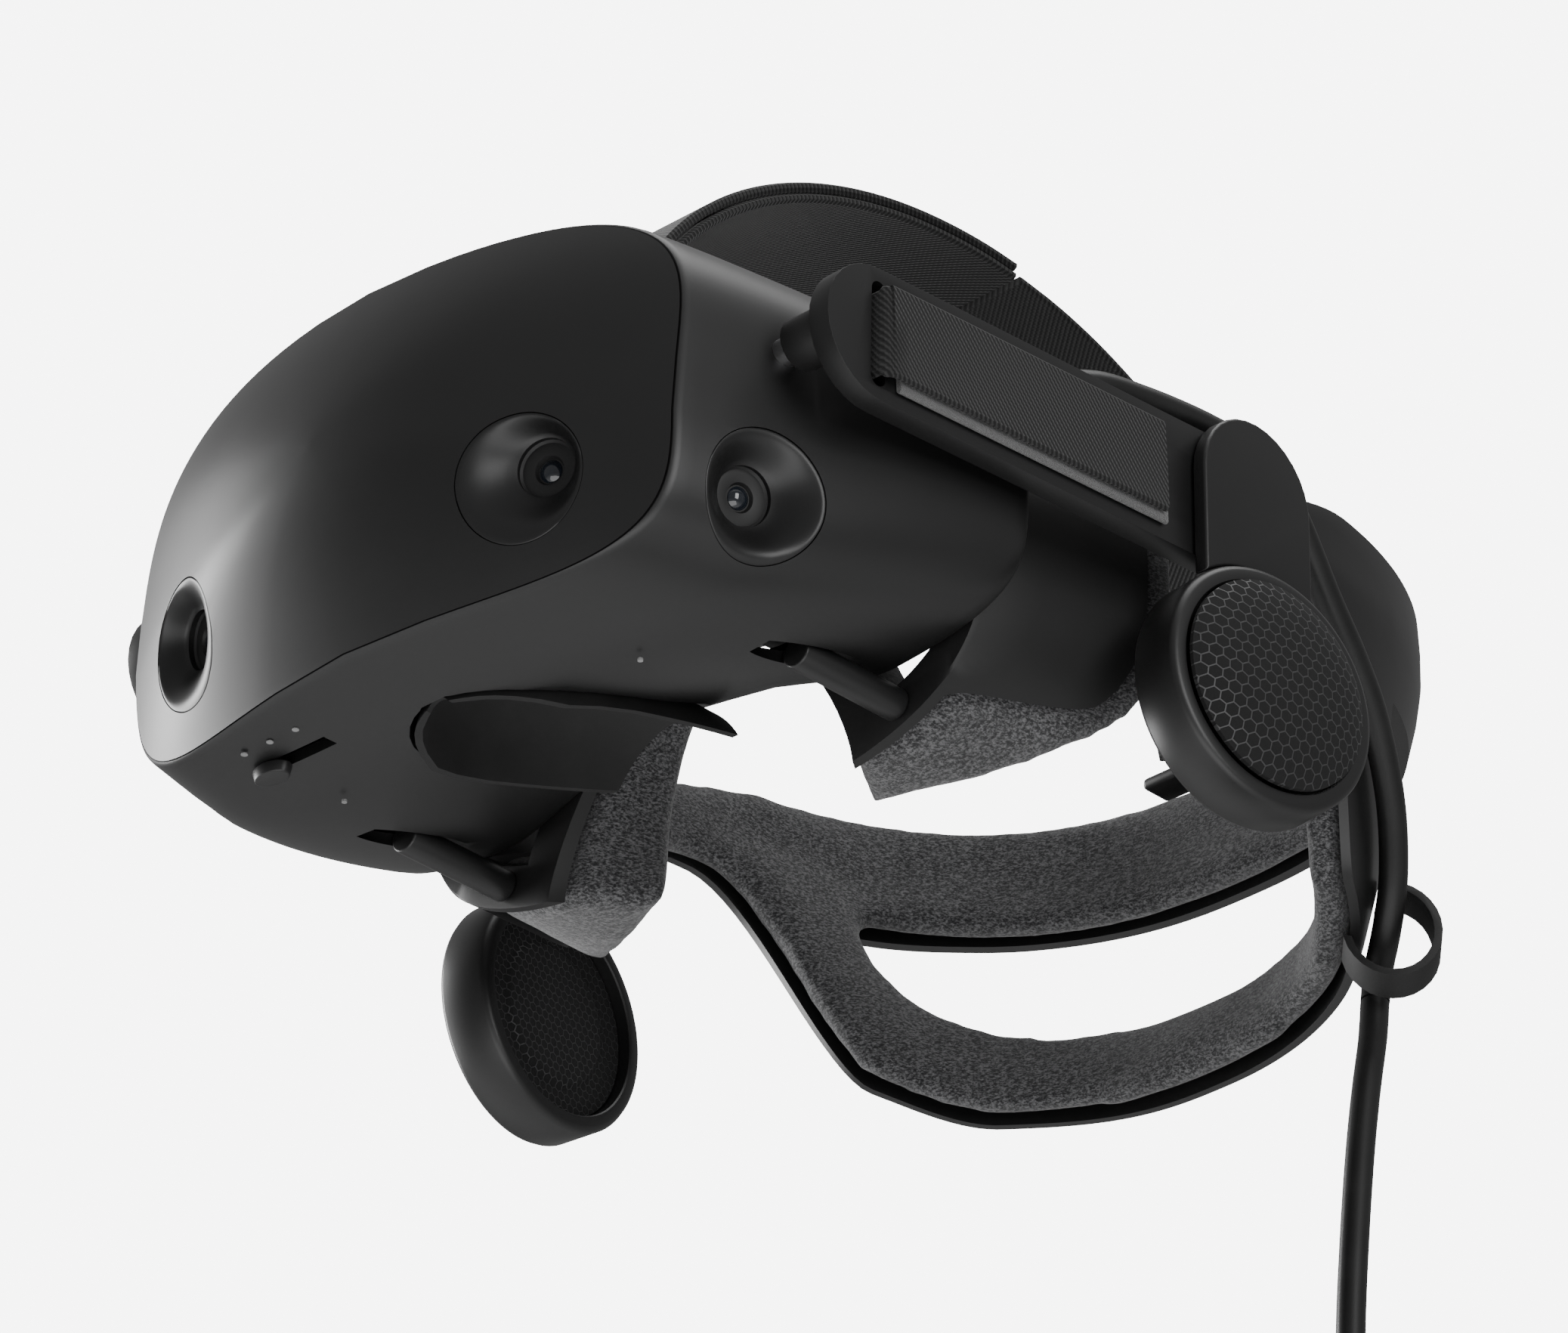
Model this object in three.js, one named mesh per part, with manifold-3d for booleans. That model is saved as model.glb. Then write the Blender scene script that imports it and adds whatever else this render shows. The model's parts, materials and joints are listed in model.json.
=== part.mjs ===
// A wired headset for virtual reality: a hollow visor with moving lens units, two side arms
// that pitch on it, a rear halo that slides in the arms, ear speakers and a coiled cable.
// Millimetres. +X is the wearer's left, -Y the front, +Z up. The origin is the midpoint
// between the two ear speakers, which is the middle of the wearer's head.
import * as THREE from 'three';
import { mergeVertices } from 'three/addons/utils/BufferGeometryUtils.js';
import Module from 'manifold-3d';

const wasm = await Module();
wasm.setup();

// ---------------------------------------------------------------- driving dimensions
const GAP = 0.3;                      // clearance between touching pieces
const SIDES = [['left', 1], ['right', -1]];

const VISOR = {                       // front cover, a crowned shell
  halfWidth: 74.2, top: 66.9, bottom: -15.4, topPower: 3.7, bottomPower: 4.6,
  front: -152.5, sweepX: 15.6, powerX: 1.72, sweepZ: 4.0, powerZ: 1.32, midZ: 15.2,
  crown: 9.3, wall: 2.2,
};
const REAR = { y: -54, halfWidth: 89.5, top: 60, bottom: 0, archHeight: 13, archHalf: 52 };
const HOUSING_WALL = 2.5;
const NOSE = { half: 22, front: -125, floor: -20, height: 29 };

const EYE = { x: 34, z: 33.5, travel: 4, radius: 20.5, front: -97, rear: -58 };
const IPD = { x: -41.4, y: -129, z: -15.6, travel: 14.4 };
const CAMERA = { radius: 13.2, pupil: 6, depth: 5, body: 5.6, length: 7 };
const FRONT_CAMERA = { x: 46, y: -148.5, z: 5.2, yaw: 20.5, pitch: -9.5 };
const SIDE_CAMERA = { x: 76.6, y: -115.5, z: 3.5, yaw: 78, pitch: -16 };

const GASKET = { front: -53.4, depth: 44, power: 1.5, frame: 3, gap: 2.1, cushion: 8.4 };
// The seal's outlines at the visor and at the face, and the eye openings inside them.
const SEAL = {
  front: { half: 77, top: 62, bottom: -17, foot: 3, notch: 42, noseTop: 29, arch: 1.5 },
  rear: { half: 82, top: 74, bottom: -13, foot: 3.2, notch: 27, noseTop: 30, arch: 0.75 },
  frontEyes: { half: 70, top: 55, bottom: -8, foot: 3, notch: 48, noseTop: 36, arch: 1.6 },
  rearEyes: { half: 66, top: 58, bottom: 9, foot: 3, notch: 36, noseTop: 38, arch: 0.95 },
};
const POST = { x: 54, z: -7, radius: 3.4, from: -82 };

const ARM = { inner: 92.5, thick: 5, half: 14.6, frontY: -104.5, frontZ: 35.6, rearY: -1.2, rearZ: 41.6 };
const PITCH = { y: -113.2, z: 34.6, pin: 3, spacer: 5.4 };
const STRAP = { height: 20, thick: 1.5, slotY: -105.2, slot: 2, endY: -27 };

const EAR = { x: 98.4, radius: 26, width: 12.3, lip: 22.4, dome: 6.5, toe: 6.7 };
const HANGER = { outer: 101.5, thick: 3.5, half: 15.6, pivotY: -1.2, pivotZ: 45.2, pin: 3, down: 9 };

const HALO = { half: 88.5, y: 10, back: 103, power: 2.5, taper: 0.21, upright: 50, shell: 2.6, pad: 8.6 };
const CROWN = { y: 6, z: 60, front: 99, back: 98, rise: 80, width: 37, thick: 2.2 };

const CABLE = { radius: 3, sides: 8 };
const CLIP = { turn: 46, out: 5.2, z: -6, wide: 10.2, tall: 13, wall: 1.7, width: 7 };
const COIL = { x: 70, y: 8.8, z: -206, inner: 37, outer: 67, half: 15.2 };

// ---------------------------------------------------------------- finishes
const finish = (color, roughness, metalness = 0) => (
  new THREE.MeshStandardMaterial({ color, roughness, metalness }));
const SATIN_BLACK = finish(0x1b1b1c, 0.5);
const MATTE_BLACK = finish(0x151516, 0.7);
const RUBBER_BLACK = finish(0x111112, 0.85);
const CHARCOAL_CLOTH = finish(0x2b2b2d, 0.95);
const WEBBING = finish(0x161617, 0.9);
const LENS_GLASS = finish(0x0c1016, 0.08);
const GRILLE = finish(0x3a3a3c, 0.4, 0.8);
const STEEL = finish(0x9a9a9c, 0.35, 1);
const BOARD = finish(0x16361f, 0.6);

// ---------------------------------------------------------------- geometry helpers
const rad = THREE.MathUtils.degToRad;
const at = (geometry, x, y, z) => geometry.clone().translate(x, y, z);

function box(x0, x1, y0, y1, z0, z1) {
  const shape = new THREE.BoxGeometry(x1 - x0, y1 - y0, z1 - z0);
  return shape.translate((x0 + x1) / 2, (y0 + y1) / 2, (z0 + z1) / 2);
}

// A rod from a to b along the X axis, centred on (y, z).
const rodX = (radius, a, b, y, z, sides = 16) => (
  new THREE.CylinderGeometry(radius, radius, b - a, sides).rotateZ(Math.PI / 2).translate((a + b) / 2, y, z));
// A rod from a to b along the Y axis, centred on (x, z).
const rodY = (radius, a, b, x, z, sides = 16) => (
  new THREE.CylinderGeometry(radius, radius, b - a, sides).translate(x, (a + b) / 2, z));

// Joins rings of equal length into one closed surface. A ring of one point is a pole, an
// open end gets a fan to its middle, and a loop joins its last ring to its first.
function skin(rings, loop = false) {
  const points = [];
  const faces = [];
  const start = rings.map((ring) => points.push(...ring) - ring.length);
  const bridge = (a, b) => {
    const count = Math.max(rings[a].length, rings[b].length);
    for (let i = 0; i < count; i += 1) {
      const j = (i + 1) % count;
      const one = (ring, k) => start[ring] + (rings[ring].length > 1 ? k : 0);
      if (rings[a].length > 1) faces.push(one(a, i), one(a, j), one(b, i));
      if (rings[b].length > 1) faces.push(one(a, j), one(b, j), one(b, i));
    }
  };
  rings.slice(1).forEach((_, i) => bridge(i, i + 1));
  if (loop) bridge(rings.length - 1, 0);
  const cap = (ring, flip) => {
    const points3 = rings[ring];
    if (points3.length === 1) return;
    const middle = [0, 1, 2].map((k) => points3.reduce((sum, p) => sum + p[k], 0) / points3.length);
    const centre = points.push(middle) - 1;
    points3.forEach((_, i) => {
      const j = (i + 1) % points3.length;
      faces.push(centre, start[ring] + (flip ? i : j), start[ring] + (flip ? j : i));
    });
  };
  if (!loop) {
    cap(0, false);
    cap(rings.length - 1, true);
  }
  return outward(points.flat(), faces);
}

// Builds an indexed geometry and turns its faces outwards if its volume is negative.
function outward(positions, faces) {
  let volume = 0;
  const corner = (i) => new THREE.Vector3().fromArray(positions, i * 3);
  for (let i = 0; i < faces.length; i += 3) {
    volume += corner(faces[i]).dot(corner(faces[i + 1]).cross(corner(faces[i + 2])));
  }
  const ordered = volume < 0 ? faces.slice().reverse() : faces;
  const geometry = new THREE.BufferGeometry();
  geometry.setAttribute('position', new THREE.Float32BufferAttribute(positions, 3));
  geometry.setIndex(ordered);
  return geometry;
}

function toSolid(geometry) {
  const bare = geometry.clone();
  bare.deleteAttribute('normal');
  bare.deleteAttribute('uv');
  const merged = mergeVertices(bare, 1e-4);
  return new wasm.Manifold(new wasm.Mesh({
    numProp: 3,
    vertProperties: Float32Array.from(merged.attributes.position.array),
    triVerts: Uint32Array.from(merged.index.array),
  }));
}

function fromSolid(solid) {
  const mesh = solid.getMesh();
  const geometry = new THREE.BufferGeometry();
  geometry.setAttribute('position', new THREE.Float32BufferAttribute(mesh.vertProperties, 3));
  geometry.setIndex([...mesh.triVerts]);
  return geometry;
}

const cut = (body, ...tools) => (
  fromSolid(tools.reduce((solid, tool) => solid.subtract(toSolid(tool)), toSolid(body))));
const join = (first, ...rest) => (
  fromSolid(rest.reduce((solid, next) => solid.add(toSolid(next)), toSolid(first))));
// An outline drawn in the YZ plane and given a thickness along X, from x0 to x1.
function plateX(shape, x0, x1, holes = []) {
  shape.holes.push(...holes);
  const plate = new THREE.ExtrudeGeometry(shape, { depth: x1 - x0, bevelEnabled: false, curveSegments: 8 });
  // The shape's x is +Y and its y is +Z.
  plate.applyMatrix4(new THREE.Matrix4().set(0, 0, 1, x0, 1, 0, 0, 0, 0, 1, 0, 0, 0, 0, 0, 1));
  return plate;
}

// A slot with round ends between two points of the YZ plane.
function slot(ShapeType, ay, az, by, bz, radius) {
  const along = Math.atan2(bz - az, by - ay);
  const shape = new ShapeType();
  shape.absarc(by, bz, radius, along - Math.PI / 2, along + Math.PI / 2, false);
  shape.absarc(ay, az, radius, along + Math.PI / 2, along + Math.PI * 1.5, false);
  shape.closePath();
  return shape;
}

// A round section swept along a smooth curve through points.
function tube(points, radius, sides, steps) {
  const section = new THREE.Shape();
  for (let i = 0; i < sides; i += 1) {
    const turn = (i / sides) * Math.PI * 2;
    section[i ? 'lineTo' : 'moveTo'](radius * Math.cos(turn), radius * Math.sin(turn));
  }
  section.closePath();
  const path = new THREE.CatmullRomCurve3(points.map((p) => new THREE.Vector3(...p)));
  return new THREE.ExtrudeGeometry(section, { steps, bevelEnabled: false, extrudePath: path });
}

// Merges shared corners and turns the faces outwards, after a lathe, a bend or a mirror.
function oriented(geometry) {
  geometry.deleteAttribute('normal');
  geometry.deleteAttribute('uv');
  const merged = mergeVertices(geometry, 1e-4);
  return outward([...merged.attributes.position.array], [...merged.index.array]);
}

const lathe = (profile, sides) => (
  oriented(new THREE.LatheGeometry(profile.map(([r, h]) => new THREE.Vector2(r, h)), sides)));

const signedPower = (value, power) => Math.sign(value) * Math.abs(value) ** power;
const ramp = (value, from, to) => Math.min(1, Math.max(0, (value - from) / (to - from)));
const ease = (value, from, to) => {
  const share = ramp(value, from, to);
  return share * share * (3 - 2 * share);
};

const headset = new THREE.Group();
function add(name, geometry, material, parent = headset) {
  const mesh = new THREE.Mesh(geometry, material);
  mesh.name = name;
  parent.add(mesh);
  return mesh;
}

// A camera's place on the shell, with +Y turned inwards along its axis, and the hole for it.
function cameraMatrix(place, side) {
  const turn = new THREE.Euler(rad(-place.pitch), 0, side * rad(place.yaw), 'ZXY');
  return new THREE.Matrix4().makeRotationFromEuler(turn).setPosition(side * place.x, place.y, place.z);
}
const cameraHole = (place, side) => (
  rodY(CAMERA.radius + GAP, -8, 14, 0, 0, 32).applyMatrix4(cameraMatrix(place, side)));

// ---------------------------------------------------------------- visor shells
// A rounded outline in XZ. Its corners are superellipses, softer above than below.
function outline(half, top, bottom, topPower, bottomPower, count = 40) {
  const middle = (top + bottom) / 2;
  return Array.from({ length: count }, (_, i) => {
    const turn = (i / count) * Math.PI * 2;
    const power = 2 / (Math.sin(turn) > 0 ? topPower : bottomPower);
    const x = half * signedPower(Math.cos(turn), power);
    return [x, middle + ((top - bottom) / 2) * signedPower(Math.sin(turn), power)];
  });
}

// The front face sweeps back towards its ends, its top and its foot, and is crowned by reach.
function faceY(x, z, reach) {
  const { front, halfWidth, sweepX, powerX, sweepZ, powerZ, midZ, crown, top, bottom } = VISOR;
  const swept = sweepX * (Math.abs(x) / halfWidth) ** powerX;
  const leaned = sweepZ * (Math.abs(z - midZ) / ((top - bottom) / 2)) ** powerZ;
  return front + swept + leaned - crown * (1 - reach ** 2);
}

const rimOutline = (inset) => outline(VISOR.halfWidth - inset, VISOR.top - inset, VISOR.bottom + inset,
  VISOR.topPower, VISOR.bottomPower);

// A ring of the cover at a share of the way from its middle to its rim. Its edge is flat.
function faceRing(reach, inset) {
  const middle = (VISOR.top + VISOR.bottom) / 2;
  const face = rimOutline(0);
  return rimOutline(inset).map(([x, z], i) => {
    const y = faceY(face[i][0] * reach, middle + (face[i][1] - middle) * reach, reach);
    return [x * reach, y + (reach < 1 ? inset : 0), middle + (z - middle) * reach];
  });
}

function frontCover() {
  const reaches = [0.35, 0.65, 0.88, 1];
  const middle = (VISOR.top + VISOR.bottom) / 2;
  const pole = (inset) => [[0, faceY(0, middle, 0) + inset, middle]];
  const outer = [pole(0), ...reaches.map((reach) => faceRing(reach, 0))];
  const inner = [...reaches.map((reach) => faceRing(reach, VISOR.wall)).reverse(), pole(VISOR.wall)];
  const shell = skin([...outer, ...inner]);
  const holes = SIDES.map(([, side]) => cameraHole(FRONT_CAMERA, side));
  return cut(shell, ...holes);
}

// One ring of the housing: share 0 is its front edge at the cover, share 1 its rear edge.
function housingRing(share, inset) {
  const half = 75 + (REAR.halfWidth - 75) * Math.sin((share * Math.PI) / 2) - inset;
  const top = 67.5 + (REAR.top - 67.5) * share ** 1.6 - inset;
  const bottom = -16 + (REAR.bottom + 16) * Math.max(0, (share - 0.3) / 0.7) ** 1.3 + inset;
  const rim = rimOutline(0);
  return outline(half, top, bottom, VISOR.topPower, VISOR.bottomPower).map(([x, z], i) => {
    const edge = faceY(...rim[i], 1) + GAP;
    const arch = REAR.archHeight * share ** 3 * Math.max(0, 1 - (x / REAR.archHalf) ** 2) ** 1.5;
    const lift = z < (top + bottom) / 2 ? arch : 0;
    return [x, edge + (REAR.y - edge) * share, z + lift];
  });
}

function mainHousing() {
  const shares = [0, 0.2, 0.45, 0.7, 0.91, 0.935, 1];
  const outer = shares.map((share) => housingRing(share, 0));
  const inner = shares.map((share) => housingRing(share, HOUSING_WALL)).reverse();
  const shell = skin([...outer, ...inner], true);
  const { x, y, z, travel } = IPD;
  const knobSlot = box(x - 1.8, x + travel + 1.8, y - 1.8, y + 1.8, z - 8, z + 12);
  const nose = noseBlock(NOSE.half + 1, NOSE.front - 1, NOSE.floor, NOSE.height + 1);
  const sideHoles = SIDES.map(([, side]) => cameraHole(SIDE_CAMERA, side));
  const posts = SIDES.map(([, side]) => rodY(POST.radius + 0.8, POST.from - 10, -30, side * POST.x, POST.z));
  const pivots = SIDES.map(([, side]) => (
    rodX(PITCH.pin + GAP, side > 0 ? 70 : -100, side > 0 ? 100 : -70, PITCH.y, PITCH.z)));
  return cut(shell, knobSlot, nose, ...sideHoles, ...posts, ...pivots);
}

// The nose space: an arch that closes to a round nose in front. It is open below and behind.
function noseSection(y, half, front, floor, height, count = 12) {
  const run = Math.min(1, Math.max(0.02, (y - front) / 34));
  const share = Math.sqrt(1 - (1 - run) ** 2);
  return Array.from({ length: count + 1 }, (_, i) => {
    const turn = Math.PI * (i / count);
    return [half * share * Math.cos(turn), y, floor + height * share * Math.sin(turn)];
  });
}
const NOSE_STEPS = [0.4, 2, 6, 13, 24, 40, 60];

function noseBlock(half, front, floor, height) {
  return skin([...NOSE_STEPS, 74].map((step) => noseSection(front + step, half, front, floor, height)));
}

function noseGuard() {
  const wall = 1.4;
  const outer = noseBlock(NOSE.half, NOSE.front, NOSE.floor, NOSE.height);
  const inner = noseBlock(NOSE.half - wall, NOSE.front + wall, NOSE.floor - 3, NOSE.height + 3 - wall);
  // It stops at the rising underside of the housing.
  const below = box(-40, 40, -100, 100, -60, 0).rotateX(Math.atan2(13.9, 47)).translate(0, -105, -15.4);
  return cut(outer, inner, box(-40, 40, -60, -20, -60, 60), box(-40, 40, -140, -20, -60, -16), below);
}

// ---------------------------------------------------------------- optics and electronics
function eyeSlot(clearance) {
  const radius = EYE.radius + clearance;
  return (side) => {
    const near = EYE.x - EYE.travel;
    const pieces = [rodY(radius, -80, -40, side * EYE.x, EYE.z, 28), rodY(radius, -80, -40, side * near, EYE.z, 28)];
    const lo = Math.min(side * EYE.x, side * near);
    return [...pieces, box(lo, lo + EYE.travel, -80, -40, EYE.z - radius, EYE.z + radius)];
  };
}

function eyePlate() {
  const rings = [0.91, 0.935].map((share) => housingRing(share, HOUSING_WALL + 2 * GAP));
  return cut(skin(rings), ...eyeSlot(0.6)(1), ...eyeSlot(0.6)(-1));
}

function lensBarrel(x) {
  const { front, rear, radius } = EYE;
  const profile = [[17, front], [19, front], [radius, rear - 8],
    [radius, rear], [19, rear], [19, rear - 8], [17, front + 4]];
  return at(lathe([...profile, profile[0]], 24), x, 0, EYE.z);
}

function eyeLens(x) {
  const y = EYE.rear - 2;
  const profile = [[0, y + 1.5], [10, y + 1], [18.7, y - 1], [18.7, y - 3.4], [10, y - 5], [0, y - 5.6]];
  return at(lathe(profile, 20), x, 0, EYE.z);
}

function optics() {
  for (const [name, side] of SIDES) {
    const x = side * EYE.x;
    add(`lens_barrel_${name}`, lensBarrel(x), MATTE_BLACK);
    add(`lens_${name}`, eyeLens(x), LENS_GLASS);
    add(`display_${name}`, box(x - 25, x + 25, EYE.front - 3, EYE.front - 0.4, EYE.z - 19, EYE.z + 24), LENS_GLASS);
  }
  add('eye_plate', eyePlate(), MATTE_BLACK);
  add('mainboard', cut(box(-58, 58, -114, -112.4, 12.5, 58), box(-12, 12, -120, -105, 30, 40)), BOARD);
}

// ---------------------------------------------------------------- cameras
// Each bezel is a shallow cone in a ring, and its depth is along +Y before it is turned.
function camera(name, place, side) {
  const mount = new THREE.Group();
  const { radius, pupil, depth, body, length } = CAMERA;
  mount.applyMatrix4(cameraMatrix(place, side));
  headset.add(mount);
  const cone = [[pupil, -depth], [radius, -0.2], [radius, -1.8], [pupil + 1.6, -depth - 1.6], [pupil, -depth - 1.6]];
  const bezel = lathe([...cone, cone[0]].map(([r, h]) => [r, -h]), 24);
  add(`camera_bezel_${name}`, bezel, SATIN_BLACK, mount);
  const eye = [[0, depth + 0.2], [1.6, depth + 0.5], [2.4, depth + 1.4], [body, depth + 1.4],
    [body, depth + length], [0, depth + length]];
  add(`camera_module_${name}`, lathe(eye, 16), LENS_GLASS, mount);
}

function cameras() {
  for (const [name, side] of SIDES) {
    camera(`front_${name}`, FRONT_CAMERA, side);
    camera(`side_${name}`, SIDE_CAMERA, side);
  }
}

// ---------------------------------------------------------------- lens spacing slider
function ipdSlider() {
  const { x, y, z } = IPD;
  const cap = new THREE.CylinderGeometry(4.2, 3.6, 2.4, 24).rotateX(Math.PI / 2).scale(1.15, 0.72, 1);
  const stem = box(x - 1.4, x + 1.4, y - 1.4, y + 1.4, z - 1, z + 5);
  const foot = box(x - 4, x + 4, y - 4, y + 4, z + 4, z + 6);
  add('ipd_knob', join(at(cap, x, y, z - 1.6), stem, foot), SATIN_BLACK);
}

// ---------------------------------------------------------------- face gasket
const wrap = (x) => GASKET.depth * (Math.abs(x) / 86) ** GASKET.power;

// Points around the face seal, from the right of the nose notch, over the top, to its left,
// and back over the nose. All outlines have the same count.
function sealOutline({ half, top, bottom, foot, notch, noseTop, arch }) {
  const middle = (top + bottom) / 2;
  const height = (top - bottom) / 2;
  const start = -Math.acos((notch / half) ** (foot / 2));
  const around = 34;
  const over = 10;
  const points = [];
  for (let i = 0; i <= around; i += 1) {
    const turn = start + ((Math.PI - 2 * start) * i) / around;
    const power = 2 / (Math.sin(turn) > 0 ? 3 : foot);
    points.push([half * signedPower(Math.cos(turn), power), middle + height * signedPower(Math.sin(turn), power)]);
  }
  const low = points[0][1];
  for (let i = 1; i < over; i += 1) {
    const turn = Math.PI * (1 - i / over);
    points.push([notch * Math.cos(turn), low + (noseTop - low) * Math.sin(turn) ** arch]);
  }
  return points;
}

// Under the cheeks and beside the nose the cushion reaches forward to a thin frame.
const deepCloth = (x, z) => (1 - ease(Math.abs(x), 60, 74)) * (1 - ease(z, 26, 44));

// A point between a front and a rear outline, at a depth behind the front of the seal.
function sealPoint([fx, fz], [rx, rz], depth) {
  const share = depth / (GASKET.frame + GASKET.gap + GASKET.cushion + wrap(rx));
  return [fx + (rx - fx) * share, GASKET.front + depth, fz + (rz - fz) * share];
}

// The frame (cloth false) or the cushion (cloth true): a hollow skirt round both eyes.
function sealRing(cloth) {
  const [front, rear, frontEyes, rearEyes] = Object.values(SEAL).map(sealOutline);
  const rings = front.map((_, i) => {
    const share = deepCloth(...rear[i]);
    const section = (from, to) => {
      const reach = wrap(to[0]);
      const edge = GASKET.frame + reach * (1 - share);
      const depths = cloth ? [edge + GASKET.gap, GASKET.frame + GASKET.gap + GASKET.cushion + reach] : [0, edge];
      return depths.map((depth) => sealPoint(from, to, depth));
    };
    const outside = section(front[i], rear[i]);
    const inside = section(frontEyes[i], rearEyes[i]);
    const middle = (a, b) => a.map((value, k) => (value + b[k]) / 2);
    return [outside[0], outside[1], middle(outside[1], inside[1]), inside[1], inside[0],
      middle(outside[0], inside[0])];
  });
  return skin(rings, true);
}

function gasket() {
  add('gasket_frame', sealRing(false), MATTE_BLACK);
  add('face_cushion', sealRing(true), CHARCOAL_CLOTH);
  for (const [name, side] of SIDES) {
    const post = rodY(POST.radius, POST.from, GASKET.front - GAP, side * POST.x, POST.z, 20);
    add(`gasket_post_${name}`, post, SATIN_BLACK);
  }
}

// ---------------------------------------------------------------- side arms
const armZ = (y) => ARM.frontZ + ((y - ARM.frontY) / (ARM.rearY - ARM.frontY)) * (ARM.rearZ - ARM.frontZ);

function armPlate() {
  const { inner, thick, half, frontY, frontZ, rearY, rearZ } = ARM;
  const plate = plateX(slot(THREE.Shape, frontY, frontZ, rearY, rearZ, half), inner, inner + thick, [
    slot(THREE.Path, STRAP.slotY, armZ(STRAP.slotY) - 9.6, STRAP.slotY, armZ(STRAP.slotY) + 9.6, STRAP.slot),
    slot(THREE.Path, HANGER.pivotY, HANGER.pivotZ - HANGER.down, HANGER.pivotY, HANGER.pivotZ,
      HANGER.pin + GAP),
  ]);
  return cut(plate, rodX(PITCH.pin + GAP, 80, 96, PITCH.y, PITCH.z, 20));
}

// The pin is held in the housing's side and turns in a blind hole in the arm.
const pivotPin = () => rodX(PITCH.pin, 77.5, 95.6, PITCH.y, PITCH.z, 16);
const pivotSpacer = () => cut(rodX(PITCH.spacer, 84.2, ARM.inner - GAP, PITCH.y, PITCH.z, 20),
  rodX(PITCH.pin + GAP, 60, 110, PITCH.y, PITCH.z, 16));

// One layer of webbing beside the arm, between two depths, leaning with the arm.
function webLayer(x0, x1, ya, yb, half) {
  const ring = (y) => [[x0, y, armZ(y) - half], [x1, y, armZ(y) - half], [x1, y, armZ(y) + half], [x0, y, armZ(y) + half]];
  return skin([ring(ya), ring(yb)]);
}

// Webbing that comes along the inside of the arm, turns in its slot and lies back outside.
function sideStrap() {
  const { inner, thick } = ARM;
  const { height, thick: web, slotY, endY } = STRAP;
  const out = inner + thick + GAP;
  const inside = inner - GAP - web;
  const half = height / 2;
  return join(webLayer(out, out + 2 * web, slotY - 1.7, endY, half),
    webLayer(inside, out + 0.4, slotY - 1.2, slotY + 1.2, half - 0.6),
    webLayer(inside, inner - GAP, slotY - 1.2, -34, half - 0.6));
}

function arms() {
  for (const [name, side] of SIDES) {
    const wing = new THREE.Group();
    headset.add(wing);
    const put = (part, geometry, material) => {
      const shape = side > 0 ? geometry : oriented(geometry.clone().scale(-1, 1, 1));
      add(`${part}_${name}`, shape, material, wing);
    };
    put('arm', armPlate(), SATIN_BLACK);
    put('arm_pivot', pivotPin(), STEEL);
    put('arm_spacer', pivotSpacer(), MATTE_BLACK);
    put('side_strap', sideStrap(), WEBBING);
    put('speaker_hanger', hanger(), SATIN_BLACK);
    put('hanger_pin', hangerPin(), STEEL);
  }
}

// ---------------------------------------------------------------- ear speakers
function hanger() {
  const { outer, thick, half, pivotY, pivotZ, pin } = HANGER;
  const rim = EAR.radius + 0.5;
  const foot = Math.sqrt(rim ** 2 - half ** 2);
  const shape = new THREE.Shape();
  shape.absarc(pivotY, pivotZ, half, 0, Math.PI, false);
  const left = Math.atan2(foot, pivotY - half);
  const right = Math.atan2(foot, pivotY + half);
  shape.absarc(0, 0, rim, left, right, true);
  shape.closePath();
  const plate = plateX(shape, outer - thick, outer);
  return cut(plate, rodX(pin + GAP, 90, outer - 1.2, pivotY, pivotZ, 24));
}

// A pin with a head behind the arm. It slides in the arm's slot and carries the hanger.
function hangerPin() {
  const { outer, pin, pivotY, pivotZ } = HANGER;
  return join(rodX(pin, 90.6, outer - 1.6, pivotY, pivotZ, 20), rodX(5.2, 89.8, ARM.inner - GAP, pivotY, pivotZ, 24));
}

function earSpeakers() {
  const { radius, width, lip, dome } = EAR;
  const half = width / 2;
  for (const [name, side] of SIDES) {
    const ear = new THREE.Group();
    ear.position.set(side * EAR.x, 0, 0);
    // The lathes turn about +Y, which is set along the outward direction, toed to the front.
    ear.rotation.set(0, 0, side * rad(-90 - EAR.toe) + 0);
    headset.add(ear);
    const ring = [[lip, -half], [radius, -half], [radius, half], [lip, half], [lip, 1], [18, 1], [18, -1], [lip, -1]];
    add(`speaker_ring_${name}`, lathe([...ring, ring[0]], 32), SATIN_BLACK, ear);
    const rise = (r) => half - 1 + dome * Math.sqrt(Math.max(0, 1 - (r / (lip + 1)) ** 2.4));
    const radii = [0, 9, 16, 20, lip - GAP];
    const domeProfile = [...radii.map((r) => [r, rise(r)]), ...radii.map((r) => [r, rise(r) - 0.9]).reverse()];
    add(`speaker_dome_${name}`, lathe(domeProfile, 24), GRILLE, ear);
    const inner = [[0, -4.2], [15, -4.2], [15.6, -3.2], [lip - GAP, -3.2], [lip - GAP, -2.3], [15, -2.3], [14.2, -3.3], [0, -3.3]];
    add(`speaker_mesh_${name}`, lathe(inner, 20), GRILLE, ear);
    const driver = [[0, -2.2], [17, -1.6], [17, 1.4], [12, 3.2], [0, 3.2]];
    add(`speaker_driver_${name}`, lathe(driver, 16), RUBBER_BLACK, ear);
  }
}

// ---------------------------------------------------------------- halo
// A point of the halo's plan: turn 0 is the right end, 90 the back and 180 the left end.
// Below its upright part the halo tapers inwards, to follow the back of the head.
function planPoint(turn, off, z) {
  const { half, back, power, taper, upright } = HALO;
  const inset = off + taper * Math.max(0, upright - z);
  const x = -(half - inset) * signedPower(Math.cos(rad(turn)), 2 / power);
  return [x, HALO.y + (back - inset) * signedPower(Math.sin(rad(turn)), 2 / power), z];
}

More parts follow.
